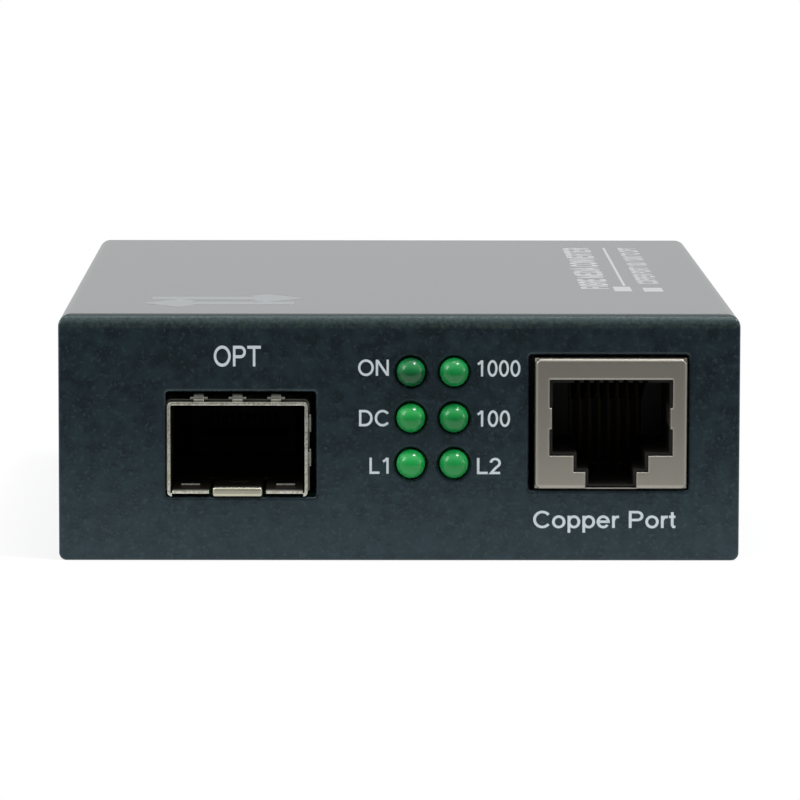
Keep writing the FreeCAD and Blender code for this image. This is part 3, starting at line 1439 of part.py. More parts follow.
pieces = [item for item in doc.Objects if item.TypeId == "PartDesign::Body"]
for item in doc.Objects:
    if "Invalid" in item.State or "Error" in item.State:
        raise ValueError(f"{item.Name} failed: {item.State}")
for piece in pieces:
    if piece.Shape.isNull() or not piece.Shape.isValid():
        raise ValueError(f"{piece.Name} is not a valid solid")
for piece in pieces:
    piece.Shape.exportStep(f"parts/{piece.Label}.step")
    print(piece.Label, len(piece.Shape.Solids), round(piece.Shape.Volume, 2), piece.Shape.BoundBox)
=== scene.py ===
import math

import bpy
from mathutils import Matrix, Vector


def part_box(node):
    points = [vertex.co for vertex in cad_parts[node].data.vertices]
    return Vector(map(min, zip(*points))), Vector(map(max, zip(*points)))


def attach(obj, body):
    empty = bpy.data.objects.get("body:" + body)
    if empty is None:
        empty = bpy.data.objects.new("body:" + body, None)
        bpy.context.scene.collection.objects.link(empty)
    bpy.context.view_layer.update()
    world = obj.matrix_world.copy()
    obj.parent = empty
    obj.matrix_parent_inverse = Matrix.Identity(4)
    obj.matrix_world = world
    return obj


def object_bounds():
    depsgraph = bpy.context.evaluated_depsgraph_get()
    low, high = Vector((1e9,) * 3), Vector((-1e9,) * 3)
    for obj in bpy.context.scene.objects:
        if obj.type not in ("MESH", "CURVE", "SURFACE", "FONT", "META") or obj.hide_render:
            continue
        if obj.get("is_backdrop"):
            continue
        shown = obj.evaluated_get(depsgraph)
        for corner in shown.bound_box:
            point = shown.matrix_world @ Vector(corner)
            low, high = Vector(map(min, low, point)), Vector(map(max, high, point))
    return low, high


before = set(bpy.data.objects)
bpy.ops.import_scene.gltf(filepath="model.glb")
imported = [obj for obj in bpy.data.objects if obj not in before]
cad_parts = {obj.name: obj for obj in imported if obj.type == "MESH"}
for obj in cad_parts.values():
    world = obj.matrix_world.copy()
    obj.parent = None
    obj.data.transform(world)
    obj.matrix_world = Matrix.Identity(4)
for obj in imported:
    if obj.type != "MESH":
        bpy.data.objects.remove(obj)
cad_low, cad_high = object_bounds()


# Camera
# A long lens, a little over half a metre in front of the converter and just
# above it, so the front is seen square on and the top almost edge on.

STAND = Vector((-0.0050, -0.60235, 0.0794))
LOOK_DOWN = math.radians(6.415)
LOOK_RIGHT = math.radians(0.522)
LEAN = math.radians(0.114)

lens = bpy.data.cameras.new("camera")
lens.sensor_width = 36.0
lens.lens = 241.9
lens.clip_start = 0.05
lens.clip_end = 20.0
camera = bpy.data.objects.new("camera", lens)
turn = Matrix.Rotation(-LOOK_RIGHT, 4, "Z") @ Matrix.Rotation(math.pi / 2 - LOOK_DOWN, 4, "X")
camera.matrix_world = Matrix.Translation(STAND) @ turn @ Matrix.Rotation(LEAN, 4, "Z")
bpy.context.scene.collection.objects.link(camera)
bpy.context.scene.camera = camera
bpy.context.scene.view_settings.view_transform = "Standard"


# White card
# The converter stands on a small white card in front of a white wall. Close to
# it the card keeps the soft shadow, and further out it goes over into white.

CARD_WHITE = "#f4f5f5"
CARD_MARGIN = 0.055
FIBRE_MM = 1.1
FIBRE_DEEP = 0.0001
SHADOW_REACH = 0.024
SHADOW_SHARE = 0.25
PLAIN_WHITE = (1.0, 1.0, 1.0, 1.0)


def linear(code):
    """An sRGB hex colour as the linear one that shaders take."""
    parts = [int(code[place:place + 2], 16) / 255 for place in (1, 3, 5)]
    return [p / 12.92 if p <= 0.04045 else ((p + 0.055) / 1.055) ** 2.4 for p in parts] + [1.0]


def add(material, kind, settings=None, inputs=None):
    """Adds one node with its settings; an input is a value or the socket that feeds it."""
    tree = material.node_tree
    made = tree.nodes.new(f"ShaderNode{kind}")
    for name, value in (settings or {}).items():
        setattr(made, name, value)
    for name, value in (inputs or {}).items():
        if isinstance(value, bpy.types.NodeSocket):
            tree.links.new(value, made.inputs[name])
        else:
            made.inputs[name].default_value = value
    return made


def new_material(name):
    material = bpy.data.materials.new(name)
    material.use_nodes = True
    material.node_tree.nodes.clear()
    return material


def per_metre(millimetres):
    """Texture scale that repeats once in this many millimetres."""
    return 1000.0 / millimetres


board_paper = new_material("matt_white_card")
where = add(board_paper, "TexCoord").outputs["Object"]
fibres = add(board_paper, "TexNoise", inputs={"Vector": where, "Scale": per_metre(FIBRE_MM), "Detail": 4.0})
tooth = add(board_paper, "Bump", inputs={
    "Strength": 0.15, "Distance": FIBRE_DEEP, "Height": fibres.outputs["Fac"]})
sheet = add(board_paper, "BsdfDiffuse", inputs={
    "Color": linear(CARD_WHITE), "Normal": tooth.outputs["Normal"]})
glow = add(board_paper, "Emission", inputs={"Color": PLAIN_WHITE, "Strength": 1.0})
spread = add(board_paper, "VectorMath", {"operation": "ABSOLUTE"}, {0: where})
beyond = add(board_paper, "VectorMath", {"operation": "SUBTRACT"}, {
    0: spread.outputs["Vector"], 1: (cad_high.x, cad_high.y, 0.0)})
outside = add(board_paper, "VectorMath", {"operation": "MAXIMUM"}, {0: beyond.outputs["Vector"]})
away = add(board_paper, "VectorMath", {"operation": "LENGTH"}, {0: outside.outputs["Vector"]})
fade = add(board_paper, "MapRange", {"interpolation_type": "SMOOTHSTEP"}, {
    "Value": away.outputs["Value"], "From Min": 0.0, "From Max": SHADOW_REACH,
    "To Min": 1.0 - SHADOW_SHARE, "To Max": 1.0})
seen_by = add(board_paper, "LightPath")
mirrored = add(board_paper, "Math", {"operation": "MAXIMUM"}, {
    0: seen_by.outputs["Is Camera Ray"], 1: seen_by.outputs["Is Glossy Ray"]})
looked_at = add(board_paper, "Math", {"operation": "MAXIMUM"}, {
    0: mirrored.outputs[0], 1: seen_by.outputs["Is Transmission Ray"]})
whiteness = add(board_paper, "Math", {"operation": "MULTIPLY"}, {
    0: fade.outputs[0], 1: looked_at.outputs[0]})
face_up = add(board_paper, "MixShader", inputs={
    0: whiteness.outputs[0], 1: sheet.outputs[0], 2: glow.outputs[0]})
add(board_paper, "OutputMaterial", inputs={"Surface": face_up.outputs[0]})

left_edge, right_edge = cad_low.x - CARD_MARGIN, cad_high.x + CARD_MARGIN
front_edge, back_edge = cad_low.y - CARD_MARGIN, cad_high.y + CARD_MARGIN
card_mesh = bpy.data.meshes.new("card")
card_mesh.from_pydata([
    (left_edge, front_edge, 0.0), (right_edge, front_edge, 0.0),
    (right_edge, back_edge, 0.0), (left_edge, back_edge, 0.0)], [], [(0, 1, 2, 3)])
card_mesh.materials.append(board_paper)
card = bpy.data.objects.new("card", card_mesh)
bpy.context.scene.collection.objects.link(card)
card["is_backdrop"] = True


# Studio room and lamps
# Behind, above and beside the converter the room is white, in front of it the
# room is dim. A softbox hangs up on the left, a small lamp and a long strip are
# overhead, and a narrow strip on the right gives the domes a second highlight.

DIM_ROOM = 0.12
WHITE_ROOM = 1.0
CEILING_LEAN = 0.75
DIM_UNTIL = -0.85
WHITE_FROM = 0.20

room = bpy.data.worlds.new("studio_room")
room.use_nodes = True
room.node_tree.nodes.clear()
bpy.context.scene.world = room
heading = add(room, "TexCoord")
towards_white = add(room, "VectorMath", {"operation": "DOT_PRODUCT"}, {
    0: heading.outputs["Generated"], 1: (0.0, 1.0, CEILING_LEAN)})
wall = add(room, "MapRange", {"interpolation_type": "SMOOTHSTEP"}, {
    "Value": towards_white.outputs["Value"], "From Min": DIM_UNTIL, "From Max": WHITE_FROM,
    "To Min": DIM_ROOM, "To Max": WHITE_ROOM})
surround = add(room, "Background", inputs={"Color": PLAIN_WHITE, "Strength": wall.outputs["Result"]})
add(room, "OutputWorld", inputs={"Surface": surround.outputs[0]})

LAMPS = {
    "softbox_left": {"towards": (-0.74, -0.35, 0.57), "size": (0.34, 0.42), "power": 2.4},
    "lamp_overhead": {"towards": (0.35, -0.20, 0.92), "size": (0.20, 0.16), "power": 3.2},
    "strip_overhead": {"towards": (0.18, 0.05, 0.98), "size": (0.03, 0.80), "power": 1.1},
    "strip_right": {"towards": (0.95, -0.12, 0.27), "size": (0.08, 0.26), "power": 0.6},
}
LAMP_AWAY = 0.9
for name, lamp in LAMPS.items():
    light = bpy.data.lights.new(name, "AREA")
    light.shape = "RECTANGLE"
    light.size, light.size_y = lamp["size"]
    light.energy = lamp["power"]
    stand = bpy.data.objects.new(name, light)
    towards = Vector(lamp["towards"]).normalized()
    stand.location = towards * LAMP_AWAY
    stand.rotation_euler = towards.to_track_quat("Z", "Y").to_euler()
    bpy.context.scene.collection.objects.link(stand)


# Folded case: cover and base
# One millimetre steel sheet, cut, folded and powder coated in a dark blue grey.
# The cured powder has pale flecks and a satin grain on the walls and runs out smooth on the flat top. Along
# the top bends a paler colour is painted as their sheen, brightest on the ridge, and the flat top is
# painted a more neutral grey as its reflection.

COAT_DEEP = "#131b20"
COAT = "#1c282e"
COAT_FLECK = "#29343a"
COAT_BEND_SHEEN = "#353f38"
COAT_TOP_REFLECTION = "#2b2c2d"
FLECK_MM = 0.36
MOTTLE_MM = 1.3
GRAIN_DEEP = 0.000018
SMOOTH_TOP = 0.08
BEND_SHEEN_SHARE = 0.7
# Depths under the top face
BEND_FROM = 0.0016
BEND_FULL = 0.0012
RIDGE_FROM = 0.0007
RIDGE_AT = 0.0005
RIDGE_TO = 0.0003
TOP_FROM = 0.0001


def dress(material, *names):
    """Gives CAD nodes their finish through their material slots."""
    for name in names:
        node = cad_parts[name]
        if not node.material_slots:
            node.data.materials.append(material)
        for slot in node.material_slots:
            slot.material = material


top_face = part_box("cover")[1].z
powder = new_material("satin_powder_coat")
where = add(powder, "TexCoord").outputs["Object"]
pebble = add(powder, "TexNoise", inputs={
    "Vector": where, "Scale": per_metre(FLECK_MM), "Detail": 2.0, "Roughness": 0.5})
mottle = add(powder, "TexNoise", inputs={"Vector": where, "Scale": per_metre(MOTTLE_MM), "Detail": 3.0})
cured = add(powder, "MapRange", inputs={
    "Value": mottle.outputs["Fac"], "From Min": 0.35, "From Max": 0.65, "To Min": 0.0, "To Max": 1.0})
ground = add(powder, "Mix", {"data_type": "RGBA"}, {
    0: cured.outputs[0], 6: linear(COAT_DEEP), 7: linear(COAT)})
flecks = add(powder, "MapRange", inputs={
    "Value": pebble.outputs["Fac"], "From Min": 0.56, "From Max": 0.74, "To Min": 0.0, "To Max": 1.0})
tone = add(powder, "Mix", {"data_type": "RGBA"}, {
    0: flecks.outputs[0], 6: ground.outputs[2], 7: linear(COAT_FLECK)})
height = add(powder, "SeparateXYZ", inputs={"Vector": where}).outputs["Z"]
# Painted sheen: a paler colour along the top bends, with a painted highlight on the ridge and sparkle from
# the grain
onto_bend_sheen = add(powder, "MapRange", {"interpolation_type": "SMOOTHSTEP"}, {
    "Value": height, "From Min": top_face - BEND_FROM, "From Max": top_face - BEND_FULL,
    "To Min": 0.0, "To Max": BEND_SHEEN_SHARE})
onto_ridge_highlight = add(powder, "MapRange", {"interpolation_type": "SMOOTHSTEP"}, {
    "Value": height, "From Min": top_face - RIDGE_FROM, "From Max": top_face - RIDGE_AT,
    "To Min": 0.0, "To Max": 1.0 - BEND_SHEEN_SHARE})
off_bend = add(powder, "MapRange", {"interpolation_type": "SMOOTHSTEP"}, {
    "Value": height, "From Min": top_face - RIDGE_TO, "From Max": top_face - TOP_FROM,
    "To Min": 1.0, "To Max": SMOOTH_TOP})
bend_and_ridge_sheen = add(powder, "Math", {"operation": "ADD"}, {0: onto_bend_sheen.outputs[0], 1: onto_ridge_highlight.outputs[0]})
bend_sheen = add(powder, "Math", {"operation": "MULTIPLY"}, {0: bend_and_ridge_sheen.outputs[0], 1: off_bend.outputs[0]})
sheen_sparkle = add(powder, "MapRange", inputs={
    "Value": pebble.outputs["Fac"], "From Min": 0.38, "From Max": 0.62, "To Min": 0.25, "To Max": 1.0})
painted_sheen = add(powder, "Math", {"operation": "MULTIPLY"}, {0: bend_sheen.outputs[0], 1: sheen_sparkle.outputs[0]})
# Painted reflection: the flat top takes a more neutral grey than the walls, standing in for the pale grey
# it reflects
walls_or_top = add(powder, "Mix", {"data_type": "RGBA"}, {
    0: off_bend.outputs[0], 6: linear(COAT_TOP_REFLECTION), 7: tone.outputs[2]})
shade = add(powder, "Mix", {"data_type": "RGBA"}, {
    0: painted_sheen.outputs[0], 6: walls_or_top.outputs[2], 7: linear(COAT_BEND_SHEEN)})
grit = add(powder, "Bump", inputs={
    "Strength": off_bend.outputs[0], "Distance": GRAIN_DEEP, "Height": pebble.outputs["Fac"]})
coat = add(powder, "BsdfPrincipled", inputs={
    "Base Color": shade.outputs[2], "Roughness": 0.27, "IOR": 1.6,
    "Specular Tint": linear("#c2dde6"), "Normal": grit.outputs["Normal"]})
add(powder, "OutputMaterial", inputs={"Surface": coat.outputs[0]})
dress(powder, "cover", "base")


# Cover screws
# Countersunk steel screws with a cross recess, blackened in hot oxide salts,
# which leaves a thin dark skin over bright steel.

OXIDE_MM = 0.4

oxide = new_material("black_oxide_steel")
where = add(oxide, "TexCoord").outputs["Object"]
skin = add(oxide, "TexNoise", inputs={"Vector": where, "Scale": per_metre(OXIDE_MM), "Detail": 3.0})
depth = add(oxide, "Mix", {"data_type": "RGBA"}, {
    0: skin.outputs["Fac"], 6: linear("#17181a"), 7: linear("#2b2d30")})
rub = add(oxide, "MapRange", inputs={
    "Value": skin.outputs["Fac"], "From Min": 0.3, "From Max": 0.7, "To Min": 0.32, "To Max": 0.5})
steel = add(oxide, "BsdfPrincipled", inputs={
    "Base Color": depth.outputs[2], "Metallic": 0.6, "Roughness": rub.outputs[0]})
add(oxide, "OutputMaterial", inputs={"Surface": steel.outputs[0]})
dress(oxide, *[f"cover_screw_{number}" for number in range(1, 5)])


# Optical module cage
# Thin nickel silver sheet, stamped, folded and tin plated. Its sheared front edges are scuffed white and
# its lip is rubbed smooth by the modules. Behind the front edges the sheet is painted a dull dark brown as
# the shade inside the cage, all but the tops of its lances.

# Real rolling lines are finer, and these are as coarse as they need to show
ROLL_LINE_MM = 0.12
ROLL_LINE_DEEP = 0.000006
ROLLED_BACKWARD = (1.0, 0.06, 1.0)
STAIN_MM = 2.2
NICK_MM = 0.22
SHEARED_EDGE = 0.00015
SHADE_STARTS = 0.0002
SHADE_FULL = 0.0012
LANCE_BACK = 0.0038
LANCE_HALF_DEEP = 0.0005
LANCE_HALF_TALL = 0.00016
LANCE_EASE = 0.0001
LIP_HALF_WIDE = 0.0027

cage_low, cage_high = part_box("cage_shell")
cage_front = cage_low.y
cage_middle = (cage_low.x + cage_high.x) / 2
lances_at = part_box("cage_floor")[1].z - LANCE_EASE
plated = new_material("tin_plated_nickel_silver")
where = add(plated, "TexCoord").outputs["Object"]
stretched = add(plated, "Mapping", inputs={"Vector": where, "Scale": ROLLED_BACKWARD})
lines = add(plated, "TexNoise", inputs={
    "Vector": stretched.outputs[0], "Scale": per_metre(ROLL_LINE_MM), "Detail": 2.0})
stain = add(plated, "TexNoise", inputs={"Vector": where, "Scale": per_metre(STAIN_MM), "Detail": 4.0})
tin = add(plated, "Mix", {"data_type": "RGBA"}, {
    0: stain.outputs["Fac"], 6: linear("#b7b69f"), 7: linear("#cccbb7")})
along = add(plated, "SeparateXYZ", inputs={"Vector": where})
nicks = add(plated, "TexNoise", inputs={"Vector": where, "Scale": per_metre(NICK_MM), "Detail": 2.0})
nicked = add(plated, "MapRange", inputs={
    "Value": nicks.outputs["Fac"], "From Min": 0.40, "From Max": 0.58, "To Min": 0.0, "To Max": 1.0})
lip_wide = add(plated, "Math", {"operation": "COMPARE"}, {
    0: along.outputs["X"], 1: cage_middle, 2: LIP_HALF_WIDE})
lip_low = add(plated, "Math", {"operation": "LESS_THAN"}, {0: along.outputs["Z"], 1: lances_at})
lip = add(plated, "Math", {"operation": "MULTIPLY"}, {0: lip_wide.outputs[0], 1: lip_low.outputs[0]})
scuffed = add(plated, "Math", {"operation": "SUBTRACT", "use_clamp": True}, {
    0: nicked.outputs[0], 1: lip.outputs[0]})
front_tin = add(plated, "Mix", {"data_type": "RGBA"}, {
    0: scuffed.outputs[0], 6: tin.outputs[2], 7: linear("#e9e9e0")})
# Painted shade: from just behind the front edges the tin goes over into dark brown, rougher and less
# metallic, except on the lance tops
shade_behind_front = add(plated, "MapRange", {"interpolation_type": "SMOOTHSTEP"}, {
    "Value": along.outputs["Y"], "From Min": cage_front + SHADE_STARTS, "From Max": cage_front + SHADE_FULL,
    "To Min": 0.0, "To Max": 1.0})
lance_high = add(plated, "Math", {"operation": "COMPARE"}, {
    0: along.outputs["Z"], 1: lances_at, 2: LANCE_HALF_TALL})
lance_long = add(plated, "Math", {"operation": "COMPARE"}, {
    0: along.outputs["Y"], 1: cage_front + LANCE_BACK, 2: LANCE_HALF_DEEP})
lance = add(plated, "Math", {"operation": "MULTIPLY"}, {0: lance_high.outputs[0], 1: lance_long.outputs[0]})
painted_shade_inside = add(plated, "Math", {"operation": "SUBTRACT", "use_clamp": True}, {
    0: shade_behind_front.outputs[0], 1: lance.outputs[0]})
tin_or_painted_shade = add(plated, "Mix", {"data_type": "RGBA"}, {
    0: painted_shade_inside.outputs[0], 6: front_tin.outputs[2], 7: linear("#2f2a23")})
rougher_in_shade = add(plated, "MapRange", inputs={
    "Value": painted_shade_inside.outputs[0], "From Min": 0.0, "From Max": 1.0, "To Min": 0.3, "To Max": 0.55})
metal = add(plated, "MapRange", inputs={
    "Value": painted_shade_inside.outputs[0], "From Min": 0.0, "From Max": 1.0, "To Min": 1.0, "To Max": 0.3})
sheared = add(plated, "Bevel", {"samples": 6}, {"Radius": SHEARED_EDGE})
drawn = add(plated, "Bump", inputs={
    "Strength": 0.08, "Distance": ROLL_LINE_DEEP, "Height": lines.outputs["Fac"],
    "Normal": sheared.outputs[0]})
cage = add(plated, "BsdfPrincipled", inputs={
    "Base Color": tin_or_painted_shade.outputs[2], "Metallic": metal.outputs[0], "Roughness": rougher_in_shade.outputs[0],
    "Normal": drawn.outputs["Normal"]})
add(plated, "OutputMaterial", inputs={"Surface": cage.outputs[0]})
dress(plated, "cage_shell", "cage_floor")


# Earthing collar
# Hard rolled phosphor bronze strip under a thin nickel plate. Its colour is painted darker than the cage's,
# as the shade in the gap round the cage, and only the wings of its fingers catch the light.

ROLLED_MM = 0.5

spring_strip = new_material("nickel_plated_bronze")
where = add(spring_strip, "TexCoord").outputs["Object"]
rolled = add(spring_strip, "TexNoise", inputs={
    "Vector": where, "Scale": per_metre(ROLLED_MM), "Detail": 3.0})
# Painted shade: the strip's colour is darkened as the shade in the gap
strip_tone_in_shade = add(spring_strip, "Mix", {"data_type": "RGBA"}, {
    0: rolled.outputs["Fac"], 6: linear("#77776f"), 7: linear("#9b9b92")})
strip_edge = add(spring_strip, "Bevel", {"samples": 6}, {"Radius": SHEARED_EDGE})
strip = add(spring_strip, "BsdfPrincipled", inputs={
    "Base Color": strip_tone_in_shade.outputs[2], "Metallic": 1.0, "Roughness": 0.35,
    "Normal": strip_edge.outputs[0]})
add(spring_strip, "OutputMaterial", inputs={"Surface": strip.outputs[0]})
dress(spring_strip, "cage_collar")


# Shield of the copper jack
# Nickel plated brass sheet, drawn round the moulding. It has a satin face with
# a warm grey tone, and its bends and cut edges catch the light.

BLUSH_MM = 7.0
SATIN_MM = 0.3
CUT_EDGE = 0.00036

satin_nickel = new_material("satin_nickel_plate")
where = add(satin_nickel, "TexCoord").outputs["Object"]
blush = add(satin_nickel, "TexNoise", inputs={
    "Vector": where, "Scale": per_metre(BLUSH_MM), "Detail": 2.0})
matt = add(satin_nickel, "TexNoise", inputs={
    "Vector": where, "Scale": per_metre(SATIN_MM), "Detail": 2.0})
nickel_tone = add(satin_nickel, "Mix", {"data_type": "RGBA"}, {
    0: blush.outputs["Fac"], 6: linear("#a19d93"), 7: linear("#aaa69d")})
satin = add(satin_nickel, "MapRange", inputs={
    "Value": matt.outputs["Fac"], "From Min": 0.3, "From Max": 0.7, "To Min": 0.40, "To Max": 0.44})
folded = add(satin_nickel, "Bevel", {"samples": 8}, {"Radius": CUT_EDGE})
shield = add(satin_nickel, "BsdfPrincipled", inputs={
    "Base Color": nickel_tone.outputs[2], "Metallic": 1.0, "Roughness": satin.outputs[0],
    "Normal": folded.outputs[0]})
add(satin_nickel, "OutputMaterial", inputs={"Surface": shield.outputs[0]})
dress(satin_nickel, "jack_shield")


# Black mouldings
# Glass filled nylon, moulded black, with the faint grain of a spark eroded
# tool on the insert of the jack, the lamp holder and the connectors.

# A real spark eroded grain is finer, and this one is as coarse as it needs to show
SPARK_MM = 0.12
SPARK_DEEP = 0.00001

nylon = new_material("black_glass_filled_nylon")
where = add(nylon, "TexCoord").outputs["Object"]
spark = add(nylon, "TexNoise", inputs={"Vector": where, "Scale": per_metre(SPARK_MM), "Detail": 3.0})
black = add(nylon, "Mix", {"data_type": "RGBA"}, {
    0: spark.outputs["Fac"], 6: linear("#0d0c0a"), 7: linear("#171512")})
grain = add(nylon, "Bump", inputs={
    "Strength": 0.3, "Distance": SPARK_DEEP, "Height": spark.outputs["Fac"]})
insert = add(nylon, "BsdfPrincipled", inputs={
    "Base Color": black.outputs[2], "Roughness": 0.5, "IOR": 1.53, "Specular IOR Level": 0.28,
    "Normal": grain.outputs["Normal"]})
add(nylon, "OutputMaterial", inputs={"Surface": insert.outputs[0]})
dress(nylon, "jack_housing", "host_connector", "lamp_holder", "inlet_housing")


# Contacts
# Phosphor bronze springs in the jack and in the connector at the back of the cage. They are painted a deep
# brown, near black, as the shade deep inside the jack and the cage.

SHADE_MOTTLE_MM = 0.5

bronze = new_material("phosphor_bronze_in_painted_shade")
where = add(bronze, "TexCoord").outputs["Object"]
shade_mottle = add(bronze, "TexNoise", inputs={"Vector": where, "Scale": per_metre(SHADE_MOTTLE_MM), "Detail": 3.0})
# Painted shade: the springs take a near black brown for the dark inside the jack and the cage
painted_shade_brown = add(bronze, "Mix", {"data_type": "RGBA"}, {
    0: shade_mottle.outputs["Fac"], 6: linear("#1a150c"), 7: linear("#2b2313")})
contact = add(bronze, "BsdfPrincipled", inputs={
    "Base Color": painted_shade_brown.outputs[2], "Metallic": 0.9, "Roughness": 0.4})
add(bronze, "OutputMaterial", inputs={"Surface": contact.outputs[0]})
dress(bronze, "jack_wires", "host_contacts")


# Indicator lamps
# Three millimetre lamps cast in tinted epoxy. The resin is a clear deep green under a skin as smooth as
# glass. A paler band is painted across the dome by height, partly the chip cup inside and partly painted
# light, and towards the crown the tint is painted darker again as painted shade.

# From the lamp's middle: the painted light band starts below it, is brightest above it and is painted dark
# again at the crown
CUP_BELOW = 0.0003
CUP_ABOVE = 0.0008
SHADED_CROWN = 0.0015
LAMP_TINTS = {
    "lamp_power": ("#095129", "#147a40"),
    "lamp_speed_1000": ("#0c7437", "#1a914b"),
    "lamp_input": ("#0e7f39", "#249f4c"),
    "lamp_speed_100": ("#0a7235", "#189046"),
    "lamp_fibre_link": ("#108a3e", "#26a252"),
    "lamp_copper_link": ("#0e813c", "#21984c"),
}
for name, (deep, bright) in LAMP_TINTS.items():
    low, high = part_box(name)
    resin = new_material(f"{name}_tinted_epoxy")
    where = add(resin, "TexCoord").outputs["Object"]
    height = add(resin, "SeparateXYZ", inputs={"Vector": where}).outputs["Z"]
    middle = (low.z + high.z) / 2
    # Painted light and shade: paler in a band above the middle, darker towards the crown
    cup_and_light_band = add(resin, "MapRange", {"interpolation_type": "SMOOTHSTEP"}, {
        "Value": height, "From Min": middle - CUP_BELOW, "From Max": middle + CUP_ABOVE,
        "To Min": 0.0, "To Max": 1.0})
    crown_shade = add(resin, "MapRange", {"interpolation_type": "SMOOTHSTEP"}, {
        "Value": height, "From Min": middle + CUP_ABOVE, "From Max": middle + SHADED_CROWN,
        "To Min": 1.0, "To Max": 0.0})
    painted_light_band = add(resin, "Math", {"operation": "MULTIPLY"}, {0: cup_and_light_band.outputs[0], 1: crown_shade.outputs[0]})
    tint = add(resin, "Mix", {"data_type": "RGBA"}, {
        0: painted_light_band.outputs[0], 6: linear(deep), 7: linear(bright)})
    lens_skin = add(resin, "BsdfPrincipled", inputs={
        "Base Color": tint.outputs[2], "Roughness": 0.22, "IOR": 1.53, "Specular IOR Level": 0.24,
        "Subsurface Weight": 0.35, "Subsurface Radius": (0.2, 1.0, 0.35), "Subsurface Scale": 0.0008,
        "Coat Weight": 0.32, "Coat Roughness": 0.06})
    add(resin, "OutputMaterial", inputs={"Surface": lens_skin.outputs[0]})
    dress(resin, name)


# Circuit board
# Glass laminate under a green solder mask, which lies glossy over a faint weave.
# Its four screws and the pressed standoffs are steel under bright zinc plate,
# which is mottled by its spangle.

WEAVE_MM = 0.6
SPANGLE_MM = 0.8

mask = new_material("green_solder_mask")
where = add(mask, "TexCoord").outputs["Object"]
weave = add(mask, "TexNoise", inputs={"Vector": where, "Scale": per_metre(WEAVE_MM), "Detail": 2.0})
resist = add(mask, "Mix", {"data_type": "RGBA"}, {
    0: weave.outputs["Fac"], 6: linear("#0c3b22"), 7: linear("#14502f")})
board = add(mask, "BsdfPrincipled", inputs={
    "Base Color": resist.outputs[2], "Roughness": 0.3, "IOR": 1.5})
add(mask, "OutputMaterial", inputs={"Surface": board.outputs[0]})
dress(mask, "board")

zinc = new_material("bright_zinc_plate")
where = add(zinc, "TexCoord").outputs["Object"]
spangle = add(zinc, "TexNoise", inputs={"Vector": where, "Scale": per_metre(SPANGLE_MM), "Detail": 2.0})
plate = add(zinc, "Mix", {"data_type": "RGBA"}, {
    0: spangle.outputs["Fac"], 6: linear("#b4b8bb"), 7: linear("#d2d5d8")})
zinced = add(zinc, "BsdfPrincipled", inputs={
    "Base Color": plate.outputs[2], "Metallic": 1.0, "Roughness": 0.3})
add(zinc, "OutputMaterial", inputs={"Surface": zinced.outputs[0]})
dress(zinc, *[f"{kind}_{number}" for kind in ("board_screw", "standoff") for number in range(1, 5)])


# Parts on the board
# Moulded epoxy packages, a ground ferrite core with a taped winding, cans in
# dark sleeves, a drawn crystal can, and tinned leads on all of them. Epoxy and
# ferrite look matt, the sleeves glossy and the bare metal satin.

PART_FINISHES = {
    "epoxy_package": {
        "tones": ("#161617", "#242425"), "metallic": 0.0, "roughness": 0.55, "grain_mm": 0.15,
        "on": ("converter_chip", "memory_chip", "optocoupler", "line_transformer", "regulator",
               "transformer_bobbin", "inductor")},
    "ground_ferrite": {
        "tones": ("#26272a", "#3a3b3e"), "metallic": 0.0, "roughness": 0.7, "grain_mm": 0.3,
        "on": ("transformer_core",)},
    "winding_tape": {
        "tones": ("#c49a2c", "#e0bb4a"), "metallic": 0.0, "roughness": 0.4, "grain_mm": 1.5,
        "on": ("transformer_winding",)},
    "sleeved_can": {
        "tones": ("#15202f", "#22324a"), "metallic": 0.0, "roughness": 0.25, "grain_mm": 2.0,
        "on": ("reservoir_capacitor", "filter_capacitor", "output_capacitor")},
    "drawn_can": {
        "tones": ("#bdbdb8", "#d8d8d4"), "metallic": 1.0, "roughness": 0.25, "grain_mm": 0.6,
        "on": ("crystal",)},
    "tinned_lead": {
        "tones": ("#b5b4ae", "#d3d2cc"), "metallic": 1.0, "roughness": 0.35, "grain_mm": 0.4,
        "on": ("lamp_leads", "inlet_pin", "inlet_spring", "converter_chip_pins", "memory_chip_pins",
               "optocoupler_pins", "line_transformer_pins", "regulator_frame", "small_parts")},
}
for kind, finish in PART_FINISHES.items():
    stuff = new_material(kind)
    where = add(stuff, "TexCoord").outputs["Object"]
    speckle = add(stuff, "TexNoise", inputs={
        "Vector": where, "Scale": per_metre(finish["grain_mm"]), "Detail": 3.0})
    colour = add(stuff, "Mix", {"data_type": "RGBA"}, {
        0: speckle.outputs["Fac"], 6: linear(finish["tones"][0]), 7: linear(finish["tones"][1])})
    body = add(stuff, "BsdfPrincipled", inputs={
        "Base Color": colour.outputs[2], "Metallic": finish["metallic"], "Roughness": finish["roughness"]})
    add(stuff, "OutputMaterial", inputs={"Surface": body.outputs[0]})
    dress(stuff, *finish["on"])


# Printed legends
# Plain stroke letters and numbers, screen printed in pale ink a few thousandths
# of a millimetre thick. Each is drawn for a cap height of one, in strokes of an
# even width, and a stroke that crosses another lies a little above it.

INK_THICK = 0.000004
INK_SUNK = 0.000006
INK_OVERLAP = 0.25
INK_LEVELS = 4
STROKE_WIDE = 0.15
ARC_STEP = 9
SAME_POINT = 1e-6
SHARPEST_MITRE = 0.4


def arc(middle, radii, start, stop):
    """Points on part of an ellipse, from one angle to another in degrees."""
    steps = max(2, round(abs(stop - start) / ARC_STEP))
    turns = [math.radians(start + (stop - start) * step / steps) for step in range(steps + 1)]
    return [(middle[0] + radii[0] * math.cos(a), middle[1] + radii[1] * math.sin(a)) for a in turns]


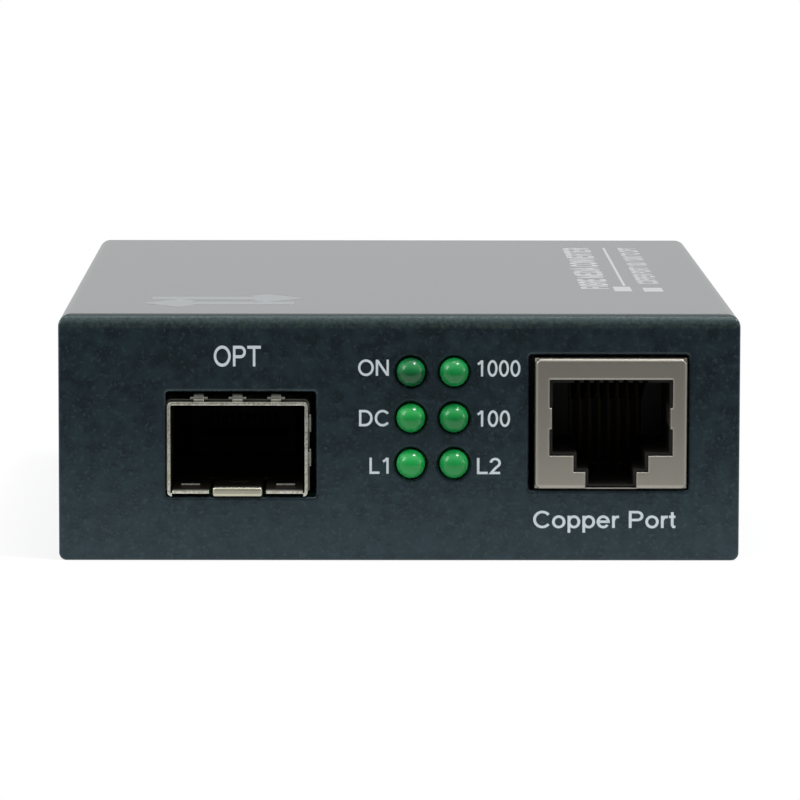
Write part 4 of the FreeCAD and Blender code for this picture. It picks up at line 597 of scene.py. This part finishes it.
# Middle of a stroke at the foot, the head and the waist of a capital, and just
# beside its stem, where a bowl ends so that it doesn't run over the stem.
LOW, TOP, WAIST, BESIDE = 0.0625, 0.9375, 0.47, 0.245
LETTERS = {
    " ": (0.39, []),
    "/": (0.39, [[(0.03, -0.02), (0.36, 1.02)]]),
    "0": (0.78, [arc((0.39, 0.5), (0.265, 0.445), 0, 360)]),
    "1": (0.78, [[(0.46, 0.0), (0.46, 1.0)], [(0.17, 0.76), (0.31, 0.84), (0.44, 0.97)]]),
    "2": (0.78, [arc((0.39, 0.69), (0.26, 0.25), 175, -35) + [(0.40, 0.36), (0.15, LOW), (0.68, LOW)]]),
    "A": (0.93, [[(0.05, 0.0), (0.46, 0.96), (0.88, 0.0)], [(0.20, 0.34), (0.73, 0.34)]]),
    "B": (0.93, [[(0.17, LOW), (0.17, TOP)] + arc((0.48, 0.72), (0.22, 0.2175), 90, -90) +
                 [(BESIDE, 0.5025)],
                 [(0.17, 0.5025)] + arc((0.50, 0.2825), (0.27, 0.22), 90, -90) + [(0.17, LOW)]]),
    "C": (1.01, [arc((0.54, 0.5), (0.41, 0.445), 38, 322)]),
    "D": (1.01, [[(0.17, LOW)] + arc((0.46, 0.5), (0.40, 0.4375), -90, 90) + [(0.17, TOP), (0.17, LOW)]]),
    "E": (0.93, [[(0.75, TOP), (0.17, TOP), (0.17, LOW), (0.77, LOW)], [(0.17, 0.51), (0.70, 0.51)]]),
    "F": (0.85, [[(0.74, TOP), (0.17, TOP), (0.17, 0.0)], [(0.17, 0.49), (0.66, 0.49)]]),
    "I": (0.39, [[(0.19, 0.0), (0.19, 1.0)]]),
    "L": (0.78, [[(0.16, 1.0), (0.16, LOW), (0.73, LOW)]]),
    "M": (1.16, [[(0.16, 0.0), (0.16, 1.0)], [(0.19, 0.96), (0.58, 0.06), (0.97, 0.96)],
                 [(1.0, 0.0), (1.0, 1.0)]]),
    "N": (1.01, [[(0.16, 0.0), (0.16, 1.0)], [(0.19, 0.95), (0.82, 0.05)], [(0.85, 0.0), (0.85, 1.0)]]),
    "O": (1.09, [arc((0.545, 0.5), (0.43, 0.445), 0, 360)]),
    "P": (0.93, [[(0.17, 0.0), (0.17, TOP)] + arc((0.54, 0.705), (0.25, 0.2325), 90, -90) +
                 [(BESIDE, WAIST)]]),
    "R": (1.01, [[(0.17, 0.0), (0.17, TOP)] + arc((0.58, 0.705), (0.25, 0.2325), 90, -90) +
                 [(BESIDE, WAIST)], [(0.52, WAIST), (0.88, 0.0)]]),
    "T": (0.85, [[(0.02, TOP), (0.83, TOP)], [(0.425, 0.0), (0.425, TOP)]]),
    "V": (0.93, [[(0.05, 1.0), (0.465, 0.04), (0.88, 1.0)]]),
    "e": (0.78, [[(0.20, 0.37), (0.66, 0.37)] + arc((0.39, 0.36), (0.27, 0.31), 8, 325)]),
    "o": (0.78, [arc((0.39, 0.36), (0.28, 0.31), 0, 360)]),
    "p": (0.78, [[(0.15, -0.28), (0.15, 0.72)], arc((0.41, 0.36), (0.26, 0.31), 0, 360)]),
    "r": (0.47, [[(0.15, 0.0), (0.15, 0.72)], [(0.15, 0.42), (0.21, 0.58), (0.31, 0.65), (0.44, 0.655)]]),
    "t": (0.39, [[(0.20, 0.94), (0.20, 0.17), (0.26, 0.07), (0.37, 0.065)], [(0.03, 0.66), (0.37, 0.66)]]),
}


def stroke(points, wide, level):
    """A line of even width as a flat slab: its corners, and its faces by number."""
    closed = math.dist(points[0], points[-1]) < SAME_POINT
    if closed:
        points = points[:-1]
    count = len(points)
    corners = []
    for order in range(count):
        here = Vector(points[order])
        before = Vector(points[order - 1]) if order or closed else None
        after = Vector(points[(order + 1) % count]) if order < count - 1 or closed else None
        back = (here - before).normalized() if before else (after - here).normalized()
        ahead = (after - here).normalized() if after else back
        along = (back + ahead).normalized()
        reach = wide / 2 / max(SHARPEST_MITRE, along.dot(ahead))
        side = Vector((-along.y, along.x)) * reach
        for edge in (here + side, here - side):
            corners += [(edge.x, edge.y, level), (edge.x, edge.y, -INK_SUNK)]
    faces = []
    for order in range(count if closed else count - 1):
        a, b = 4 * order, 4 * ((order + 1) % count)
        faces += [(a, a + 2, b + 2, b), (a + 1, b + 1, b + 3, a + 3), (a, b, b + 1, a + 1),
                  (a + 2, a + 3, b + 3, b + 2)]
    if not closed:
        last = 4 * (count - 1)
        faces += [(0, 1, 3, 2), (last, last + 2, last + 3, last + 1)]
    return corners, faces


def print_strokes(name, strokes, across, tall, place, ink, wide=STROKE_WIDE):
    """Prints strokes drawn for a height of one, fitted to a length and a height."""
    corners, faces = [], []
    for order, points in enumerate(strokes):
        level = INK_THICK * (1 + INK_OVERLAP * (order % INK_LEVELS))
        more, sides = stroke(points, wide, level)
        faces += [tuple(number + len(corners) for number in side) for side in sides]
        corners += more
    start = min(x for x, y, z in corners)
    long = max(x for x, y, z in corners) - start
    mesh = bpy.data.meshes.new(name)
    mesh.from_pydata([((x - start) * across / long, y * tall, z) for x, y, z in corners], [], faces)
    mesh.transform(place)
    mesh.materials.append(ink)
    piece = bpy.data.objects.new(name, mesh)
    bpy.context.scene.collection.objects.link(piece)
    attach(piece, "root")


def word(letters):
    """Strokes of a whole word, letter by letter."""
    strokes, pen = [], 0.0
    for letter in letters:
        wide, lines = LETTERS[letter]
        strokes += [[(x + pen, y) for x, y in line] for line in lines]
        pen += wide
    return strokes


# Legends on the front
# A word or a number beside each lamp, and one over and one under the ports, in
# a cool white ink that the threads of the screen leave faintly uneven.

# A real screen is finer, and this one is as coarse as it needs to show
SCREEN_MM = 0.15
CAP_TALL = 0.00168
LEFT_LEGENDS_END = -0.0011
RIGHT_LEGENDS_START = 0.0081

front_ink = new_material("cool_white_ink")
where = add(front_ink, "TexCoord").outputs["Object"]
mesh_print = add(front_ink, "TexNoise", inputs={
    "Vector": where, "Scale": per_metre(SCREEN_MM), "Detail": 2.0})
cover_power = add(front_ink, "Mix", {"data_type": "RGBA"}, {
    0: mesh_print.outputs["Fac"], 6: linear("#bec8cd"), 7: linear("#cdd6db")})
print_skin = add(front_ink, "BsdfPrincipled", inputs={
    "Base Color": cover_power.outputs[2], "Roughness": 0.5})
add(front_ink, "OutputMaterial", inputs={"Surface": print_skin.outputs[0]})

front_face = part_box("cover")[0].y
upright = Matrix.Rotation(math.pi / 2, 4, "X")
# Left end and foot of each word, its length and the height of its capitals
for name, letters, left_end, foot, long, tall in (
    ("legend_power", "ON", LEFT_LEGENDS_END - 0.0032, 0.01941, 0.0032, CAP_TALL),
    ("legend_input", "DC", LEFT_LEGENDS_END - 0.0031, 0.01413, 0.0031, CAP_TALL),
    ("legend_fibre_link", "L1", LEFT_LEGENDS_END - 0.0020, 0.00914, 0.0020, CAP_TALL),
    ("legend_speed_1000", "1000", RIGHT_LEGENDS_START, 0.01935, 0.00449, CAP_TALL),
    ("legend_speed_100", "100", RIGHT_LEGENDS_START, 0.01409, 0.00344, CAP_TALL),
    ("legend_copper_link", "L2", RIGHT_LEGENDS_START, 0.00912, 0.0025, CAP_TALL),
    ("legend_optical_port", "OPT", -0.01931, 0.02038, 0.0049, 0.00213),
    ("legend_copper_port", "Copper Port", 0.01399, 0.00345, 0.01487, 0.00178),
):
    print_strokes(name, word(letters), long, tall,
                  Matrix.Translation((left_end, front_face, foot)) @ upright, front_ink)


# Prints on the top
# In a pale grey ink, a symbol of two opposed arrows on the left, and on the right two bold lines of words
# that read from the front edge back, with a thin rule and two small blocks. Towards the left the ink colour
# goes over into a dark grey, so the symbol is faintest.

BOLD = 0.23
SOLID = 1.0
LEFT_DARKENING_SHARE = 0.75
DARKEST_AT = -0.010
FULL_INK_FROM = 0.015

top_ink = new_material("pale_grey_ink")
where = add(top_ink, "TexCoord").outputs["Object"]
mesh_print = add(top_ink, "TexNoise", inputs={
    "Vector": where, "Scale": per_metre(SCREEN_MM), "Detail": 2.0})
cover_power = add(top_ink, "Mix", {"data_type": "RGBA"}, {
    0: mesh_print.outputs["Fac"], 6: linear("#8b8f92"), 7: linear("#969a9d")})
# Towards the left the ink is mixed with a dark grey
darker_to_left = add(top_ink, "MapRange", inputs={
    "Value": add(top_ink, "SeparateXYZ", inputs={"Vector": where}).outputs["X"],
    "From Min": DARKEST_AT, "From Max": FULL_INK_FROM, "To Min": LEFT_DARKENING_SHARE, "To Max": 0.0})
ink_darker_to_left = add(top_ink, "Mix", {"data_type": "RGBA"}, {
    0: darker_to_left.outputs[0], 6: cover_power.outputs[2], 7: linear("#3c464b")})
print_skin = add(top_ink, "BsdfPrincipled", inputs={
    "Base Color": ink_darker_to_left.outputs[2], "Roughness": 0.3, "IOR": 1.6})
add(top_ink, "OutputMaterial", inputs={"Surface": print_skin.outputs[0]})

BAR = [[(0.0, 0.5), (1.0, 0.5)]]
ARROWS = [
    [(0.02, 0.72), (1.19, 0.72)], [(0.98, 0.98), (1.24, 0.72), (0.98, 0.46)],
    [(1.32, 0.28), (0.15, 0.28)], [(0.36, 0.54), (0.10, 0.28), (0.36, 0.02)],
]
print_strokes("symbol_arrows", ARROWS, 0.0172, 0.0128,
              Matrix.Translation((-0.0273, -0.0372, top_face)), top_ink, BOLD)
readable = Matrix.Rotation(math.pi / 2, 4, "Z")
# Foot and near end of each line, its length, the height of its capitals and its stroke
for name, strokes, foot, near_end, long, tall, wide in (
    ("words_device", word("FIBRE MEDIA CONVERTER"), 0.0232, -0.0165, 0.0533, 0.0029, BOLD),
    ("words_ports", word("COPPER PORT 100 / 1000 TO OPT"), 0.0289, -0.0106, 0.0475, 0.0021, BOLD),
    ("rule_top", BAR, 0.0252, -0.0131, 0.0500, 0.0003, SOLID),
    ("block_middle", BAR, 0.0256, -0.0195, 0.0055, 0.0019, SOLID),
    ("block_outer", BAR, 0.0290, -0.0198, 0.0045, 0.0021, SOLID),
):
    print_strokes(name, strokes, long, tall,
                  Matrix.Translation((foot, near_end, top_face)) @ readable, top_ink, wide)


low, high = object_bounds()
